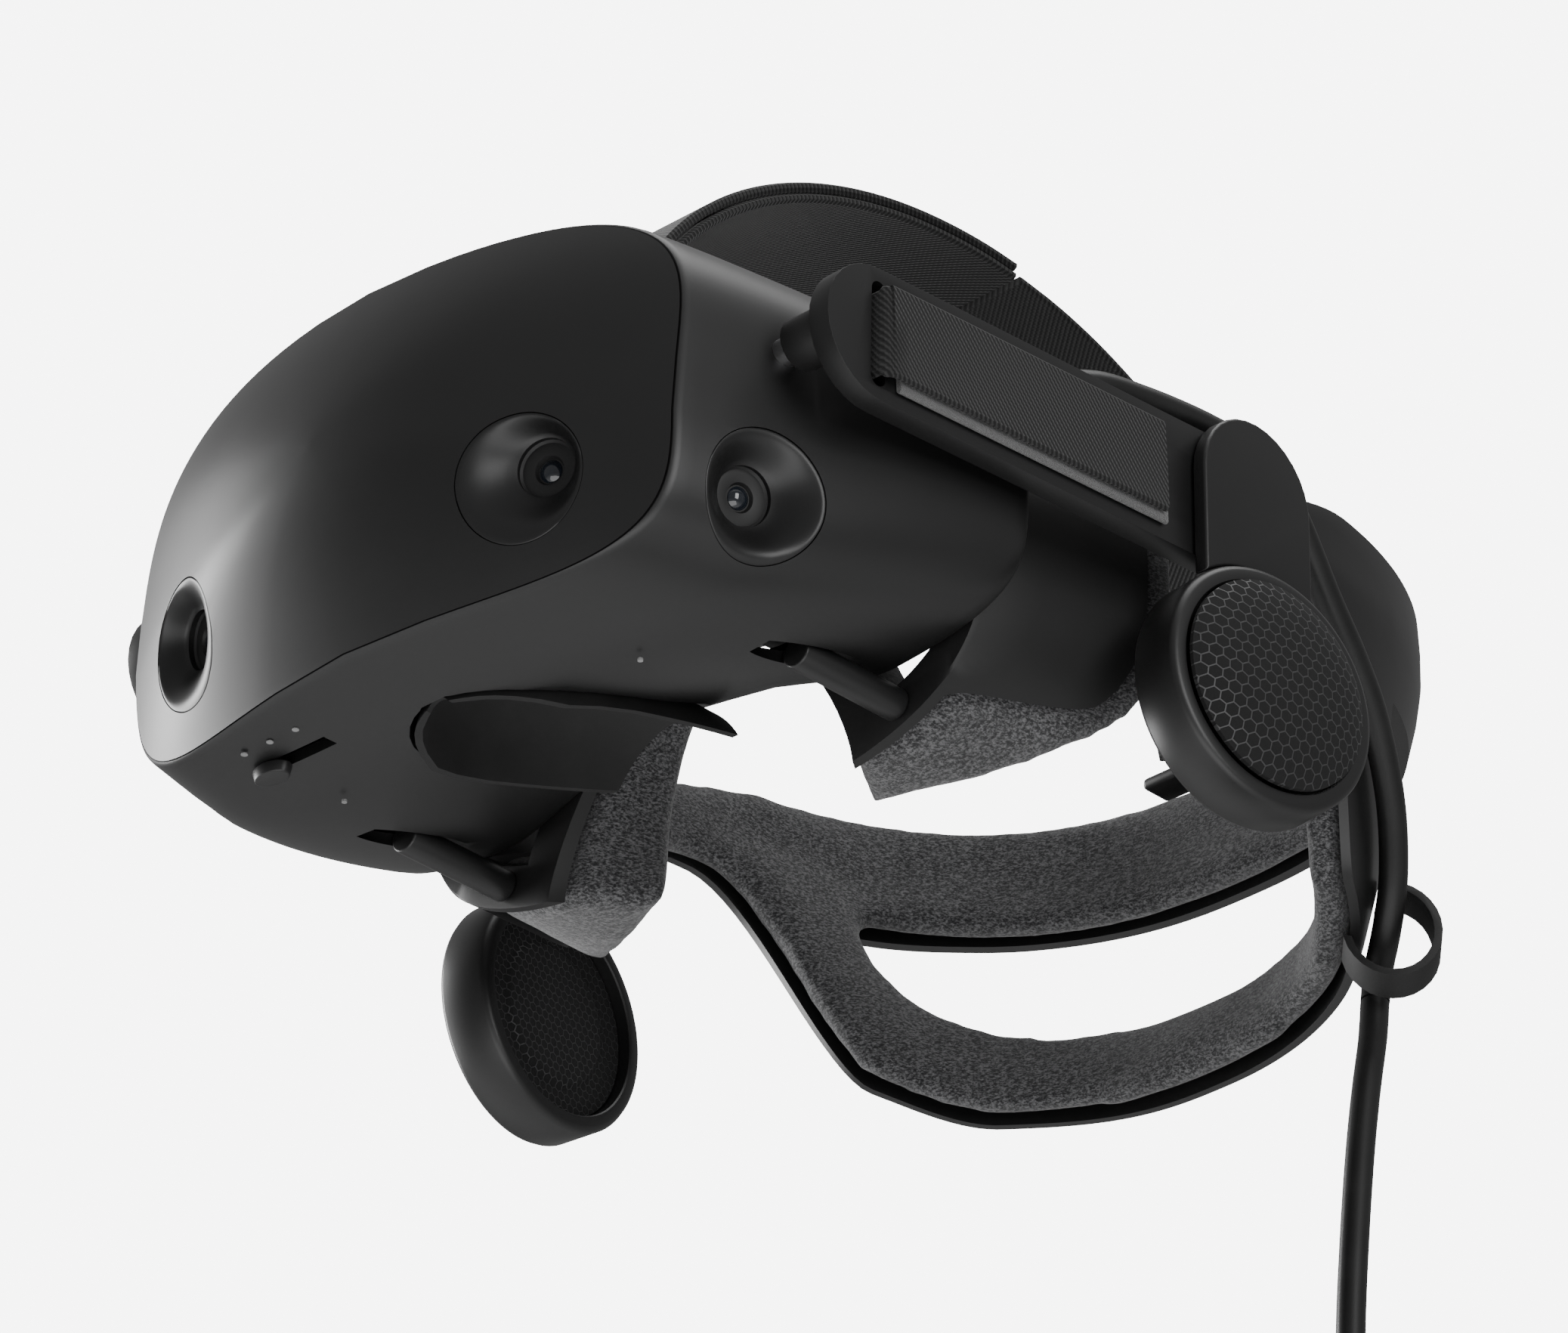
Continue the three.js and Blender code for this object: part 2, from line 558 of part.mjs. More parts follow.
const fromEnd = (turn) => Math.min(turn, 180 - turn);
// The heights of the halo's edges and of its opening, by the turn from its nearer end.
const haloTop = (turn) => 56 + 8.6 * ease(fromEnd(turn), -6, 14) + 1.4 * ease(fromEnd(turn), 40, 90);
const haloFoot = (turn) => 36 + 6.5 * ease(fromEnd(turn), -2, 5) - 44 * ease(fromEnd(turn), 7, 33)
  - 8.5 * ease(fromEnd(turn), 25, 55) - 3 * ease(fromEnd(turn), 55, 90);
const openTop = (turn) => 37 + ease(fromEnd(turn), 31, 50) - ease(fromEnd(turn), 60, 90);
const openFoot = (turn) => (
  openTop(turn) - 1 - 29 * (1 - (1 - ramp(fromEnd(turn), 31, 90)) ** 3.2) ** 0.55);

// A band along the plan between two heights, from depth off0 to off1 inside the outer line.
function haloBand(low, high, off0, off1, from, to, count) {
  const rings = [];
  for (let i = 0; i <= count; i += 1) {
    const turn = from + ((to - from) * i) / count;
    const heights = [low(turn), (low(turn) + high(turn)) / 2, high(turn)];
    const outer = heights.map((z) => planPoint(turn, off0, z));
    const inner = heights.map((z) => planPoint(turn, off1, z)).reverse();
    rings.push([...outer, ...inner]);
  }
  return skin(rings);
}

function haloPiece(off0, off1, trim) {
  const band = haloBand((t) => haloFoot(t) + trim, (t) => haloTop(t) - trim, off0, off1, trim, 180 - trim, 36);
  const opening = haloBand((t) => openFoot(t) - trim, (t) => openTop(t) + trim, off0 - 6, off1 + 6,
    31 - trim / 2, 149 + trim / 2, 28);
  return cut(band, opening);
}

function halo() {
  const { half, shell, pad, y } = HALO;
  const tongues = SIDES.map(([, side]) => {
    const a = side * (half - 0.2);
    const b = side * (half - 2.8);
    return box(Math.min(a, b), Math.max(a, b), -26, y + 6, 38, 52);
  });
  add('halo_shell', join(haloPiece(0, shell, 0), ...tongues), SATIN_BLACK);
  add('halo_cushion', haloPiece(shell + 0.8, shell + pad, 1), CHARCOAL_CLOTH);
}

// ---------------------------------------------------------------- crown strap
function crownBand(from, to, off0, off1, count) {
  const rings = [];
  for (let i = 0; i <= count; i += 1) {
    const turn = rad(from + ((to - from) * i) / count);
    const long = turn > Math.PI / 2 ? CROWN.back : CROWN.front;
    const point = (off) => [CROWN.y - (long + off) * Math.cos(turn), CROWN.z + (CROWN.rise + off) * Math.sin(turn)];
    const [oy, oz] = point(off1);
    const [iy, iz] = point(off0);
    const half = CROWN.width / 2;
    rings.push([[-half, oy, oz], [half, oy, oz], [half, iy, iz], [-half, iy, iz]]);
  }
  return skin(rings);
}

function crownStrap() {
  const meet = 97;
  add('crown_strap_front', crownBand(13, meet, 0, CROWN.thick, 14), WEBBING);
  add('crown_strap_rear', crownBand(meet + 0.3, 174, 0, CROWN.thick, 18), WEBBING);
  add('crown_strap_fold', crownBand(17, meet + 1.5, CROWN.thick + GAP, CROWN.thick * 2 + GAP, 14), WEBBING);
  const y = CROWN.y - CROWN.front;
  const loop = cut(box(-23, 23, y - 3, y + 7.4, 67.9, 75), box(-20, 20, y - 10, y + 20, 70.4, 72.6));
  add('crown_anchor', loop, SATIN_BLACK);
}

// ---------------------------------------------------------------- cable
// The cable leaves the visor inside the left arm, passes over the arm and behind the hanger,
// lies along the halo and hangs from its clip. Its spare length is wound in a coil.
const ARM_RUN = [[80, -48.6, 54], [83.6, -43.6, 57.4], [87.4, -34, 60.8], [89.2, -22, 62.2], [91, -10, 62.4], [92.4, 0, 61.8]];
const OVER_ARM = [[92.6, 0.5, 61.7], [92.9, 8, 60.8], [92.8, 15, 57.2]];
// Turns back from the halo's left end, with heights.
const HALO_RUN = [[3.8, 50], [8.6, 40.5], [14.6, 32.7], [21.4, 25], [30.8, 14.5], [40, 5], [46, -3], [51.5, -9.5]];
const CLIP_END = [54.6, 86.4, -17];
const FREE_RUN = [[54.6, 86.3, -17.4], [55.2, 84.8, -26], [56.4, 81, -40], [57.4, 77.6, -56], [58, 74.8, -76],
  [58, 73.2, -97], [58, 72.8, -118], [58, 72.8, -138], [58, 72.8, -158], [58, 72.8, -177]];

function coilParts() {
  const { x, y, z, inner, outer, half } = COIL;
  const ring = [[inner, -half], [outer, -half], [outer, half], [inner, half], [inner, -half]];
  add('cable_coil', lathe(ring, 32).rotateZ(Math.PI / 2).translate(x, y, z), RUBBER_BLACK);
  const gap = 0.5;
  const band = 1.6;
  const sleeve = (grow, wide) => box(x - half - gap - grow, x + half + gap + grow, y - wide, y + wide,
    z + inner - 1.6 - gap - grow, z + outer + gap + grow);
  add('cable_tie', cut(sleeve(band, 5), sleeve(0, 9)), WEBBING);
  const tailX = x + half - CABLE.radius - 0.2;
  const tailY = y + outer - CABLE.radius;
  const leave = z - 29;
  const tail = new THREE.CylinderGeometry(CABLE.radius, CABLE.radius, 14, CABLE.sides);
  add('cable_tail', tail.rotateX(Math.PI / 2).translate(tailX, tailY, leave - 7), RUBBER_BLACK);
  const body = new THREE.BoxGeometry(18, 10, 34).translate(tailX, tailY, leave - 14 - GAP - 17);
  add('cable_plug', body, MATTE_BLACK);
  const shellTop = leave - 14 - GAP - 34 - GAP;
  add('plug_shell', new THREE.BoxGeometry(14, 4.6, 11).translate(tailX, tailY, shellTop - 5.5), STEEL);
}

// A loop that starts under the halo's lower edge, passes round the cable and comes back to
// the halo's outside. It is an oval ring, cut clear of the halo.
function cableClip() {
  const ring = (wide, tall, length) => new THREE.CylinderGeometry(1, 1, length, 28).scale(wide, 1, tall);
  const outward3 = new THREE.Vector3(0.71, 0.7, 0).normalize();
  const along = new THREE.Vector3(-0.68, 0.69, -0.26).normalize();
  const basis = new THREE.Matrix4().makeBasis(outward3, along, outward3.clone().cross(along));
  basis.setPosition(...planPoint(180 - CLIP.turn, -CLIP.out, CLIP.z));
  const { wide, tall, wall, width } = CLIP;
  const oval = cut(ring(wide, tall, width), ring(wide - wall, tall - wall, width + 4)).applyMatrix4(basis);
  const clear = haloBand((t) => haloFoot(t) - 0.4, haloTop, -0.4, HALO.shell + HALO.pad + 2, 110, 170, 24);
  add('cable_clip', cut(oval, clear), RUBBER_BLACK);
}

function cable() {
  add('cable_gland', rodY(4.6, -53.6, -51.8, 79, 53.4, 16), RUBBER_BLACK);
  add('cable_arm_run', tube(ARM_RUN, CABLE.radius, CABLE.sides, 10), RUBBER_BLACK);
  const along = HALO_RUN.map(([turn, z]) => planPoint(180 - turn, -CABLE.radius - 0.8, z));
  add('cable_halo_run', tube([...OVER_ARM, ...along, CLIP_END], CABLE.radius, CABLE.sides, 22), RUBBER_BLACK);
  add('cable_free', tube(FREE_RUN, CABLE.radius, CABLE.sides, 18), RUBBER_BLACK);
  cableClip();
  coilParts();
}

function visorShells() {
  add('front_cover', frontCover(), SATIN_BLACK);
  add('main_housing', mainHousing(), SATIN_BLACK);
  add('nose_guard', noseGuard(), RUBBER_BLACK);
}

visorShells();
optics();
cameras();
ipdSlider();
gasket();
arms();
earSpeakers();
halo();
crownStrap();
cable();

export default headset;
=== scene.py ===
import math
import bmesh
import bpy
from mathutils import Matrix, Vector
from mathutils.bvhtree import BVHTree
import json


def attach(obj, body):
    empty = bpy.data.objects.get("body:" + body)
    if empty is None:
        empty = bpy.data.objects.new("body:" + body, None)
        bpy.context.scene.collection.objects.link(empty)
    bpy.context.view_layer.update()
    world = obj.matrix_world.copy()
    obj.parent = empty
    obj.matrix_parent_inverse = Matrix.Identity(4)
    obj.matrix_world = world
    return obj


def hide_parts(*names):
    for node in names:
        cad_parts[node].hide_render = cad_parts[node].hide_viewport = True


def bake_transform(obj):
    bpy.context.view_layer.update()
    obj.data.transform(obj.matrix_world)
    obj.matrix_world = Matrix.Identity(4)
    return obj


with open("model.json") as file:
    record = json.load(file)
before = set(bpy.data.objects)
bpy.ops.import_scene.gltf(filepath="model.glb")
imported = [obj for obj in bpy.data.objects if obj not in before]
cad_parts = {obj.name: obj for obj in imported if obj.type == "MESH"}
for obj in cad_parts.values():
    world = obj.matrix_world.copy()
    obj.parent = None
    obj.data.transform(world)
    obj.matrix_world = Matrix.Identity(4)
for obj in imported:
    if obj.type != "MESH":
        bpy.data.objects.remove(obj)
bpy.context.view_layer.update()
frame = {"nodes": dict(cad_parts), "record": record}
MM = 0.001
SIDES = (("left", 1), ("right", -1))

# ---------------------------------------------------------------- driving dimensions, millimetres
GAP = 0.3
COVER = dict(half=74.2, top=66.9, bottom=-15.4, over=3.7, under=4.6, wall=2.2)
FACE = dict(front=-152.5, sweep_x=15.6, power_x=1.72, sweep_z=4.0, power_z=1.32, mid_z=15.2, crown=9.3)
HOUSING = dict(rear=-54, half=89.5, top=60, bottom=0, arch=13, arch_half=52, wall=2.5)
NOSE = dict(half=22, front=-125, floor=-20, height=29, wall=1.4)
CAMERA_AT = {"front": (46, -148.5, 5.2, 20.5, -9.5), "side": (76.6, -115.5, 3.5, 78, -16)}
CAMERA = dict(radius=13.2, pupil=6, depth=5)
CAMERA_SHIFT = {"front": (3.4, 3.2), "side": (-0.6, 0.6)}  # outwards and up, from the dish's middle
UNDERSIDE = dict(y=-105, z=-15.4, rise=13.9, run=47)       # where the housing's foot starts to rise
GASKET = dict(front=-53.4, depth=44, power=1.5, frame=3, gap=2.1, cushion=8.4)
# The seal's outlines at the visor and at the face, and the eye openings inside them: half width,
# top, bottom, power of the foot, half width and top of the nose notch, and power of its arch.
SEAL = ((77, 62, -17, 3, 42, 29, 1.5), (82, 74, -13, 3.2, 27, 30, 0.75),
        (70, 55, -8, 3, 48, 36, 1.6), (66, 58, 9, 3, 36, 38, 0.95))
POST = (54, -7, 3.4)
ARM = dict(inner=92.5, thick=5, front_y=-104.5, front_z=35.6, rear_y=-1.2, rear_z=41.6)
STRAP = dict(height=20, web=1.5, slot_y=-105.2, end_y=-27)
EAR = dict(x=98.4, radius=26, half=6.15, lip=22.4, dome=6.5, toe=6.7)
HALO = dict(half=88.5, y=10, back=103, power=2.5, taper=0.21, upright=50, shell=2.6, pad=8.6)
CROWN = dict(y=6, z=60, front=99, back=98, rise=80, half=18.5, thick=2.2)
CABLE = 3.0
COIL = dict(x=70, y=8.8, z=-206, outer=64, pitch=6.05, layers=5, turns=3)
EYE = dict(x=34, z=33.5, rear=-58)


# ---------------------------------------------------------------- camera, light and floor
def make_camera():
    aim = Vector((0, -0.030, 0.033))
    azimuth, elevation, roll = math.radians(44.5), math.radians(-30.1), math.radians(1.0)
    back = Vector((math.sin(azimuth) * math.cos(elevation), -math.cos(azimuth) * math.cos(elevation),
                   math.sin(elevation)))
    distance = 1.9
    lens = bpy.data.cameras.new("camera")
    lens.sensor_width = 36
    lens.lens = 36 * 6.6 * distance * 1000 / 2075
    lens.clip_end = 20
    holder = bpy.data.objects.new("camera", lens)
    bpy.context.collection.objects.link(holder)
    level = back.to_track_quat("Z", "Y").to_matrix().to_4x4()
    holder.matrix_world = Matrix.Translation(aim + back * distance) @ level @ Matrix.Rotation(roll, 4, "Z")
    bpy.context.scene.camera = holder


def make_light(name, place, size, energy):
    lamp = bpy.data.lights.new(name, "AREA")
    lamp.shape = "RECTANGLE"
    lamp.size, lamp.size_y = size
    lamp.energy = energy
    holder = bpy.data.objects.new(name, lamp)
    bpy.context.collection.objects.link(holder)
    place = Vector(place)
    holder.matrix_world = Matrix.Translation(place) @ place.to_track_quat("Z", "Y").to_matrix().to_4x4()


# ---------------------------------------------------------------- finishes
class Value:
    """A node's output in Python arithmetic. Each operator adds one Math node."""

    def __init__(self, paint, socket):
        self.paint, self.socket = paint, socket

    def math(self, operation, *others):
        return self.paint.node("ShaderNodeMath", [self, *others], operation=operation)

    def __add__(self, other):
        return self.math("ADD", other)

    def __sub__(self, other):
        return self.math("SUBTRACT", other)

    def __mul__(self, other):
        return self.math("MULTIPLY", other)

    def __truediv__(self, other):
        return self.math("DIVIDE", other)

    def __rsub__(self, other):
        return self.paint.node("ShaderNodeMath", [other, self], operation="SUBTRACT")

    def __gt__(self, other):
        return self.math("GREATER_THAN", other)

    def __lt__(self, other):
        return self.math("LESS_THAN", other)

    __radd__ = __add__
    __rmul__ = __mul__

    def wrap(self, length):
        return self.math("FLOORED_MODULO", length)

    def wave(self, length):
        """A sine of that wavelength, from 0 to 1."""
        return (self * (2 * math.pi / length)).math("SINE") * 0.5 + 0.5

    def between(self, low, high):
        """0 below low, 1 above high, and smooth between them."""
        sockets = {"Value": self, "From Min": low, "From Max": high}
        return self.paint.node("ShaderNodeMapRange", sockets, interpolation_type="SMOOTHSTEP")


class Paint:
    """One procedural material on a Principled shader."""

    def __init__(self, name, **fixed):
        self.material = bpy.data.materials.new(name)
        self.material.use_nodes = True
        self.tree = self.material.node_tree
        self.shader = self.tree.nodes["Principled BSDF"]
        for socket, value in fixed.items():
            self.shader.inputs[socket.replace("_", " ").title().replace("Ior", "IOR")].default_value = value
        spot = self.node("ShaderNodeTexCoord", output="Object")
        self.place = self.node("ShaderNodeVectorMath", {0: spot, "Scale": 1000.0}, operation="SCALE")

    def node(self, kind, sockets=(), output=0, stops=(), **settings):
        made = self.tree.nodes.new(kind)
        for name, value in settings.items():
            setattr(made, name, value)
        for i, (position, colour) in enumerate(stops):
            ramp = made.color_ramp.elements
            stop = ramp[i] if i < 2 else ramp.new(position)
            stop.position, stop.color = position, (*colour, 1)
        pairs = sockets.items() if isinstance(sockets, dict) else enumerate(sockets)
        for socket, value in pairs:
            if isinstance(value, Value):
                self.tree.links.new(value.socket, made.inputs[socket])
            else:
                made.inputs[socket].default_value = value
        return Value(self, made.outputs[output])

    def axes(self, vector=None):
        vector = vector or self.place
        return [self.node("ShaderNodeSeparateXYZ", [vector], output=i) for i in range(3)]

    def weave(self):
        """Millimetres across and along a strap or a cable, kept on the mesh."""
        kept = self.node("ShaderNodeAttribute", output="Vector", attribute_name="weave")
        return self.axes(self.node("ShaderNodeVectorMath", {0: kept, "Scale": 1000.0}, operation="SCALE"))

    def noise(self, size, detail=2.0, rough=0.5, vector=None):
        """Soft noise whose lumps are about that many millimetres across."""
        sockets = {"Vector": vector or self.place, "Scale": 1 / size, "Detail": detail, "Roughness": rough}
        return self.node("ShaderNodeTexNoise", sockets)

    def stretched(self, x, y, z):
        return self.node("ShaderNodeVectorMath", {0: self.place, 1: (x, y, z)}, operation="MULTIPLY")

    def mix(self, mask, first, second):
        sockets = {0: mask, 6: (*first, 1) if isinstance(first, tuple) else first,
                   7: (*second, 1) if isinstance(second, tuple) else second}
        return self.node("ShaderNodeMix", sockets, output=2, data_type="RGBA")

    def set(self, socket, value):
        self.tree.links.new(value.socket, self.shader.inputs[socket])

    def bump(self, height, depth):
        """Raises the surface by that many millimetres where height is 1."""
        sockets = {"Strength": 1.0, "Distance": depth * MM, "Height": height}
        self.set("Normal", self.node("ShaderNodeBump", sockets))


def moulded_plastic(name, shade, roughness, grain=0.012, coat=0.0):
    paint = Paint(name, roughness=roughness, coat_weight=coat, coat_roughness=0.35, specular_ior_level=0.5)
    fine, broad = paint.noise(0.16, 3), paint.noise(26, 2)
    worn, fresh = (0.86, 0.86, 0.88), (1.1, 1.1, 1.12)
    tone = paint.mix(broad, tuple(shade * k for k in worn), tuple(shade * k for k in fresh))
    paint.set("Base Color", tone)
    paint.set("Roughness", roughness - 0.05 + broad * 0.06 + fine * 0.05)
    paint.bump(fine, grain)
    return paint.material


def rubber(name, shade, roughness=0.62):
    paint = Paint(name, roughness=roughness, specular_ior_level=0.4)
    fine, dust = paint.noise(0.3, 4), paint.noise(9, 4, 0.6)
    paint.set("Base Color", paint.mix(dust.between(0.35, 0.8), (shade,) * 3, (shade * 1.5,) * 3))
    paint.set("Roughness", roughness + 0.1 * fine - 0.05 + dust * 0.06)
    paint.bump(fine, 0.012)
    return paint.material


def heather_cloth():
    """Knitted cloth of light and dark fibres, with a fine nap."""
    paint = Paint("heather_cloth", roughness=0.95, sheen_weight=0.25, sheen_roughness=0.5, specular_ior_level=0.2)
    fibres = paint.noise(0.5, 4, 0.7, paint.stretched(1.0, 0.7, 1.9))
    flecks = paint.noise(0.95, 3, 0.65, paint.stretched(0.8, 1.0, 2.0))
    patches = paint.noise(14, 2)
    light = (fibres * 0.55 + flecks * 0.45).between(0.42, 0.62)
    pale = paint.mix(patches, (0.118, 0.118, 0.121), (0.15, 0.15, 0.154))
    paint.set("Base Color", paint.mix(light, (0.012, 0.012, 0.013), pale))
    paint.set("Roughness", 0.88 + 0.1 * fibres)
    paint.bump(fibres * 0.6 + flecks * 0.4, 0.22)
    return paint.material


def twill_webbing(name, shade=0.012):
    """Black webbing: fine diagonal ribs, crossed by its weft."""
    paint = Paint(name, roughness=0.85, sheen_weight=0.2, sheen_roughness=0.4, specular_ior_level=0.3)
    across, along, _ = paint.weave()
    rib = (across * 0.8 + along).wave(1.25)
    weft = along.wave(0.62) * across.wave(0.8)
    fray = paint.noise(0.35, 4, 0.7)
    height = rib * 0.6 + weft * 0.25 + fray * 0.15
    # Painted shade: the colour follows the weave's height, darker in the grooves between ribs and weft threads and
    # lighter on their crests; the fray noise in it is random tone.
    dark, pale = (shade * 0.45,) * 3, (shade * 2.6,) * 3
    paint.set("Base Color", paint.mix(height.between(0.2, 0.85), dark, pale))
    paint.set("Roughness", 0.78 + fray * 0.15)
    paint.bump(height, 0.16)
    return paint.material


def hook_loop():
    """The napped loop tape that shows as a fuzzy margin round the side strap."""
    paint = Paint("loop_tape", roughness=0.97, sheen_weight=0.5, sheen_roughness=0.6, specular_ior_level=0.1)
    fuzz = paint.noise(0.42, 6, 0.8)
    paint.set("Base Color", paint.mix(fuzz.between(0.35, 0.7), (0.006,) * 3, (0.05,) * 3))
    paint.bump(fuzz, 0.5)
    return paint.material


def hex_grille(name, pitch, wire, metal, cloth):
    """Thin hexagonal wires over dark cloth. The pattern lies in the plane of the ear."""
    paint = Paint(name, roughness=0.5, specular_ior_level=0.4)
    _, u, v = paint.axes()
    tall = pitch * math.sqrt(3)

    def from_centre(shift_u, shift_v):
        x = ((u + shift_u).wrap(pitch) - pitch / 2).math("ABSOLUTE")
        y = ((v + shift_v).wrap(tall) - tall / 2).math("ABSOLUTE")
        return x.math("MAXIMUM", x * 0.5 + y * (math.sqrt(3) / 2))

    reach = from_centre(0, 0).math("MINIMUM", from_centre(pitch / 2, tall / 2))
    wires = reach.between(pitch / 2 - wire, pitch / 2 - wire * 0.55)
    cloth_grain = paint.noise(0.4, 3)
    under = paint.mix(cloth_grain, tuple(cloth * k for k in (0.5, 0.5, 0.52)), (cloth * 1.4,) * 3)
    paint.set("Base Color", paint.mix(wires, under, (metal, metal, metal * 1.02)))
    paint.set("Metallic", wires * 0.35)
    paint.set("Roughness", 0.9 - wires * 0.42)
    paint.bump(wires, 0.3)
    return paint.material


def polished_glass(name, tint, roughness=0.06):
    paint = Paint(name, roughness=roughness, coat_weight=0.6, coat_roughness=0.03, ior=1.5)
    smear = paint.noise(7, 3)
    paint.set("Base Color", paint.mix(smear, tint, tuple(c * 1.5 for c in tint)))
    paint.set("Roughness", roughness + smear * 0.03)
    return paint.material


def brushed_steel():
    paint = Paint("brushed_steel", roughness=0.32, metallic=1.0)
    streaks = paint.noise(0.3, 4, 0.6, paint.stretched(3, 3, 0.15))
    paint.set("Base Color", paint.mix(streaks, (0.42, 0.42, 0.43), (0.62, 0.62, 0.63)))
    paint.set("Roughness", 0.25 + streaks * 0.16)
    paint.bump(streaks, 0.008)
    return paint.material


def circuit_board():
    paint = Paint("circuit_board", roughness=0.5)
    x, _, z = paint.axes()
    tracks = (x.wave(3.1) * z.wave(2.3)).between(0.55, 0.62)
    paint.set("Base Color", paint.mix(tracks, (0.012, 0.05, 0.022), (0.03, 0.11, 0.05)))
    paint.set("Roughness", 0.5 - tracks * 0.15)
    paint.bump(tracks, 0.03)
    return paint.material


def pale_floor():
    paint = Paint("pale_floor", roughness=0.9)
    paint.set("Base Color", paint.mix(paint.noise(60, 2), (0.8, 0.8, 0.8), (0.82, 0.82, 0.82)))
    return paint.material


# ---------------------------------------------------------------- mesh helpers
def loft(rings, loop=False, open_ring=False, weave=None):
    """Extrudes an edge loop ring after ring through rings of points with one count, in
    millimetres. A loop comes back to its first ring; otherwise both ends are filled."""
    shell = bmesh.new()
    kept = shell.verts.layers.float_vector.new("weave")
    first = [shell.verts.new(Vector(p) * MM) for p in rings[0]]
    pairs = list(zip(first, first[1:])) + ([] if open_ring else [(first[-1], first[0])])
    edges = start = [shell.edges.new(pair) for pair in pairs]
    last, rows = first, [first]
    for ring in rings[1:]:
        made = bmesh.ops.extrude_edge_only(shell, edges=edges)["geom"]
        fresh = {v for v in made if isinstance(v, bmesh.types.BMVert)}
        edges = [e for e in made if isinstance(e, bmesh.types.BMEdge) and all(v in fresh for v in e.verts)]
        last = [next(e.other_vert(v) for e in v.link_edges if e.other_vert(v) in fresh) for v in last]
        for vert, point in zip(last, ring):
            vert.co = Vector(point) * MM
        rows.append(last)
    if weave:
        for i, row in enumerate(rows):
            for j, vert in enumerate(row):
                vert[kept] = Vector(weave(i, j)) * MM
    if loop:
        bmesh.ops.bridge_loops(shell, edges=start + edges)
    elif not open_ring:
        bmesh.ops.holes_fill(shell, edges=[e for e in shell.edges if e.is_boundary], sides=0)
    bmesh.ops.recalc_face_normals(shell, faces=shell.faces)
    return shell


def turned(profile, steps=96, closed=True):
    """A profile of (radius, height) in millimetres, spun about the Z axis."""
    shape = bmesh.new()
    points = [shape.verts.new((r * MM, 0, h * MM)) for r, h in profile]
    pairs = list(zip(points, points[1:])) + ([(points[-1], points[0])] if closed else [])
    geom = points + [shape.edges.new(pair) for pair in pairs]
    bmesh.ops.spin(shape, geom=geom, cent=(0, 0, 0), axis=(0, 0, 1), angle=2 * math.pi, steps=steps,
                   use_merge=True)
    bmesh.ops.remove_doubles(shape, verts=shape.verts, dist=1e-6)
    bmesh.ops.recalc_face_normals(shape, faces=shape.faces)
    return shape


def placed(shape, matrix):
    bmesh.ops.transform(shape, matrix=matrix, verts=shape.verts)
    return shape


def piece(name, shape, finish, body, stands_for=(), sharp=38):
    mesh = bpy.data.meshes.new(name)
    for face in shape.faces:
        face.smooth = True
    for edge in shape.edges:
        edge.smooth = edge.calc_face_angle(0) < math.radians(sharp)
    shape.to_mesh(mesh)
    shape.free()
    mesh.materials.append(finish)
    made = bpy.data.objects.new(name, mesh)
    bpy.context.collection.objects.link(made)
    if body:
        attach(made, body)
    if stands_for:
        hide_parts(*stands_for)
    return made


def settle(made):
    """Applies a piece's modifiers to its mesh."""
    bpy.context.view_layer.update()
    shaped = made.evaluated_get(bpy.context.evaluated_depsgraph_get())
    mesh = bpy.data.meshes.new_from_object(shaped)
    made.modifiers.clear()
    made.data = mesh


def carve(made, cutters, sharp=38):
    """Cuts closed shapes out of a piece."""
    for shape in cutters:
        mesh = bpy.data.meshes.new("cutter")
        shape.to_mesh(mesh)
        shape.free()
        tool = bpy.data.objects.new("cutter", mesh)
        bpy.context.collection.objects.link(tool)
        cut = made.modifiers.new("cut", "BOOLEAN")
        cut.object, cut.operation, cut.solver = tool, "DIFFERENCE", "EXACT"
        settle(made)
        bpy.data.objects.remove(tool)
    edges = bmesh.new()
    edges.from_mesh(made.data)
    for edge in edges.edges:
        edge.smooth = edge.calc_face_angle(0) < math.radians(sharp)
    for face in edges.faces:
        face.smooth = True
    edges.to_mesh(made.data)
    edges.free()


def cylinder(radius, start, end, sides=64):
    """A closed round bar between two points, in millimetres."""
    start, end = Vector(start) * MM, Vector(end) * MM
    shape = bmesh.new()
    bmesh.ops.create_cone(shape, cap_ends=True, segments=sides, radius1=radius * MM, radius2=radius * MM,
                          depth=(end - start).length)
    turn = (end - start).to_track_quat("Z", "Y").to_matrix().to_4x4()
    return placed(shape, Matrix.Translation((start + end) / 2) @ turn)


def block(low, high):
    low, high = Vector(low) * MM, Vector(high) * MM
    shape = bmesh.new()
    bmesh.ops.create_cube(shape, size=1)
    return placed(shape, Matrix.Translation((low + high) / 2) @ Matrix.Diagonal((*(high - low), 1)))


def rounded(shape, width):
    """Rounds every edge of a block."""
    bmesh.ops.bevel(shape, geom=shape.edges, offset=width * MM, offset_type="OFFSET", segments=3, profile=0.5,
                    affect="EDGES", material=-1)
    return shape


def softened(node, finish, width=0.5, segments=3, name=None, angle=38):
    """A CAD piece's shape with its sharp edges rounded by a bevel."""
    shape = bmesh.new()
    shape.from_mesh(frame["nodes"][node].data)
    bmesh.ops.remove_doubles(shape, verts=shape.verts, dist=1e-6)
    bmesh.ops.dissolve_limit(shape, angle_limit=math.radians(1), verts=shape.verts, edges=shape.edges)
    sharp = [e for e in shape.edges if len(e.link_faces) == 2 and e.calc_face_angle(0) > math.radians(angle)]
    bmesh.ops.bevel(shape, geom=sharp, offset=width * MM, offset_type="OFFSET", segments=segments, profile=0.5,
                    affect="EDGES", clamp_overlap=True, material=-1)
    body = next(b for b, nodes in frame["record"]["behaviour"]["bodies"].items() if node in nodes)
    return piece(name or node + "_finished", shape, finish, body, (node,))


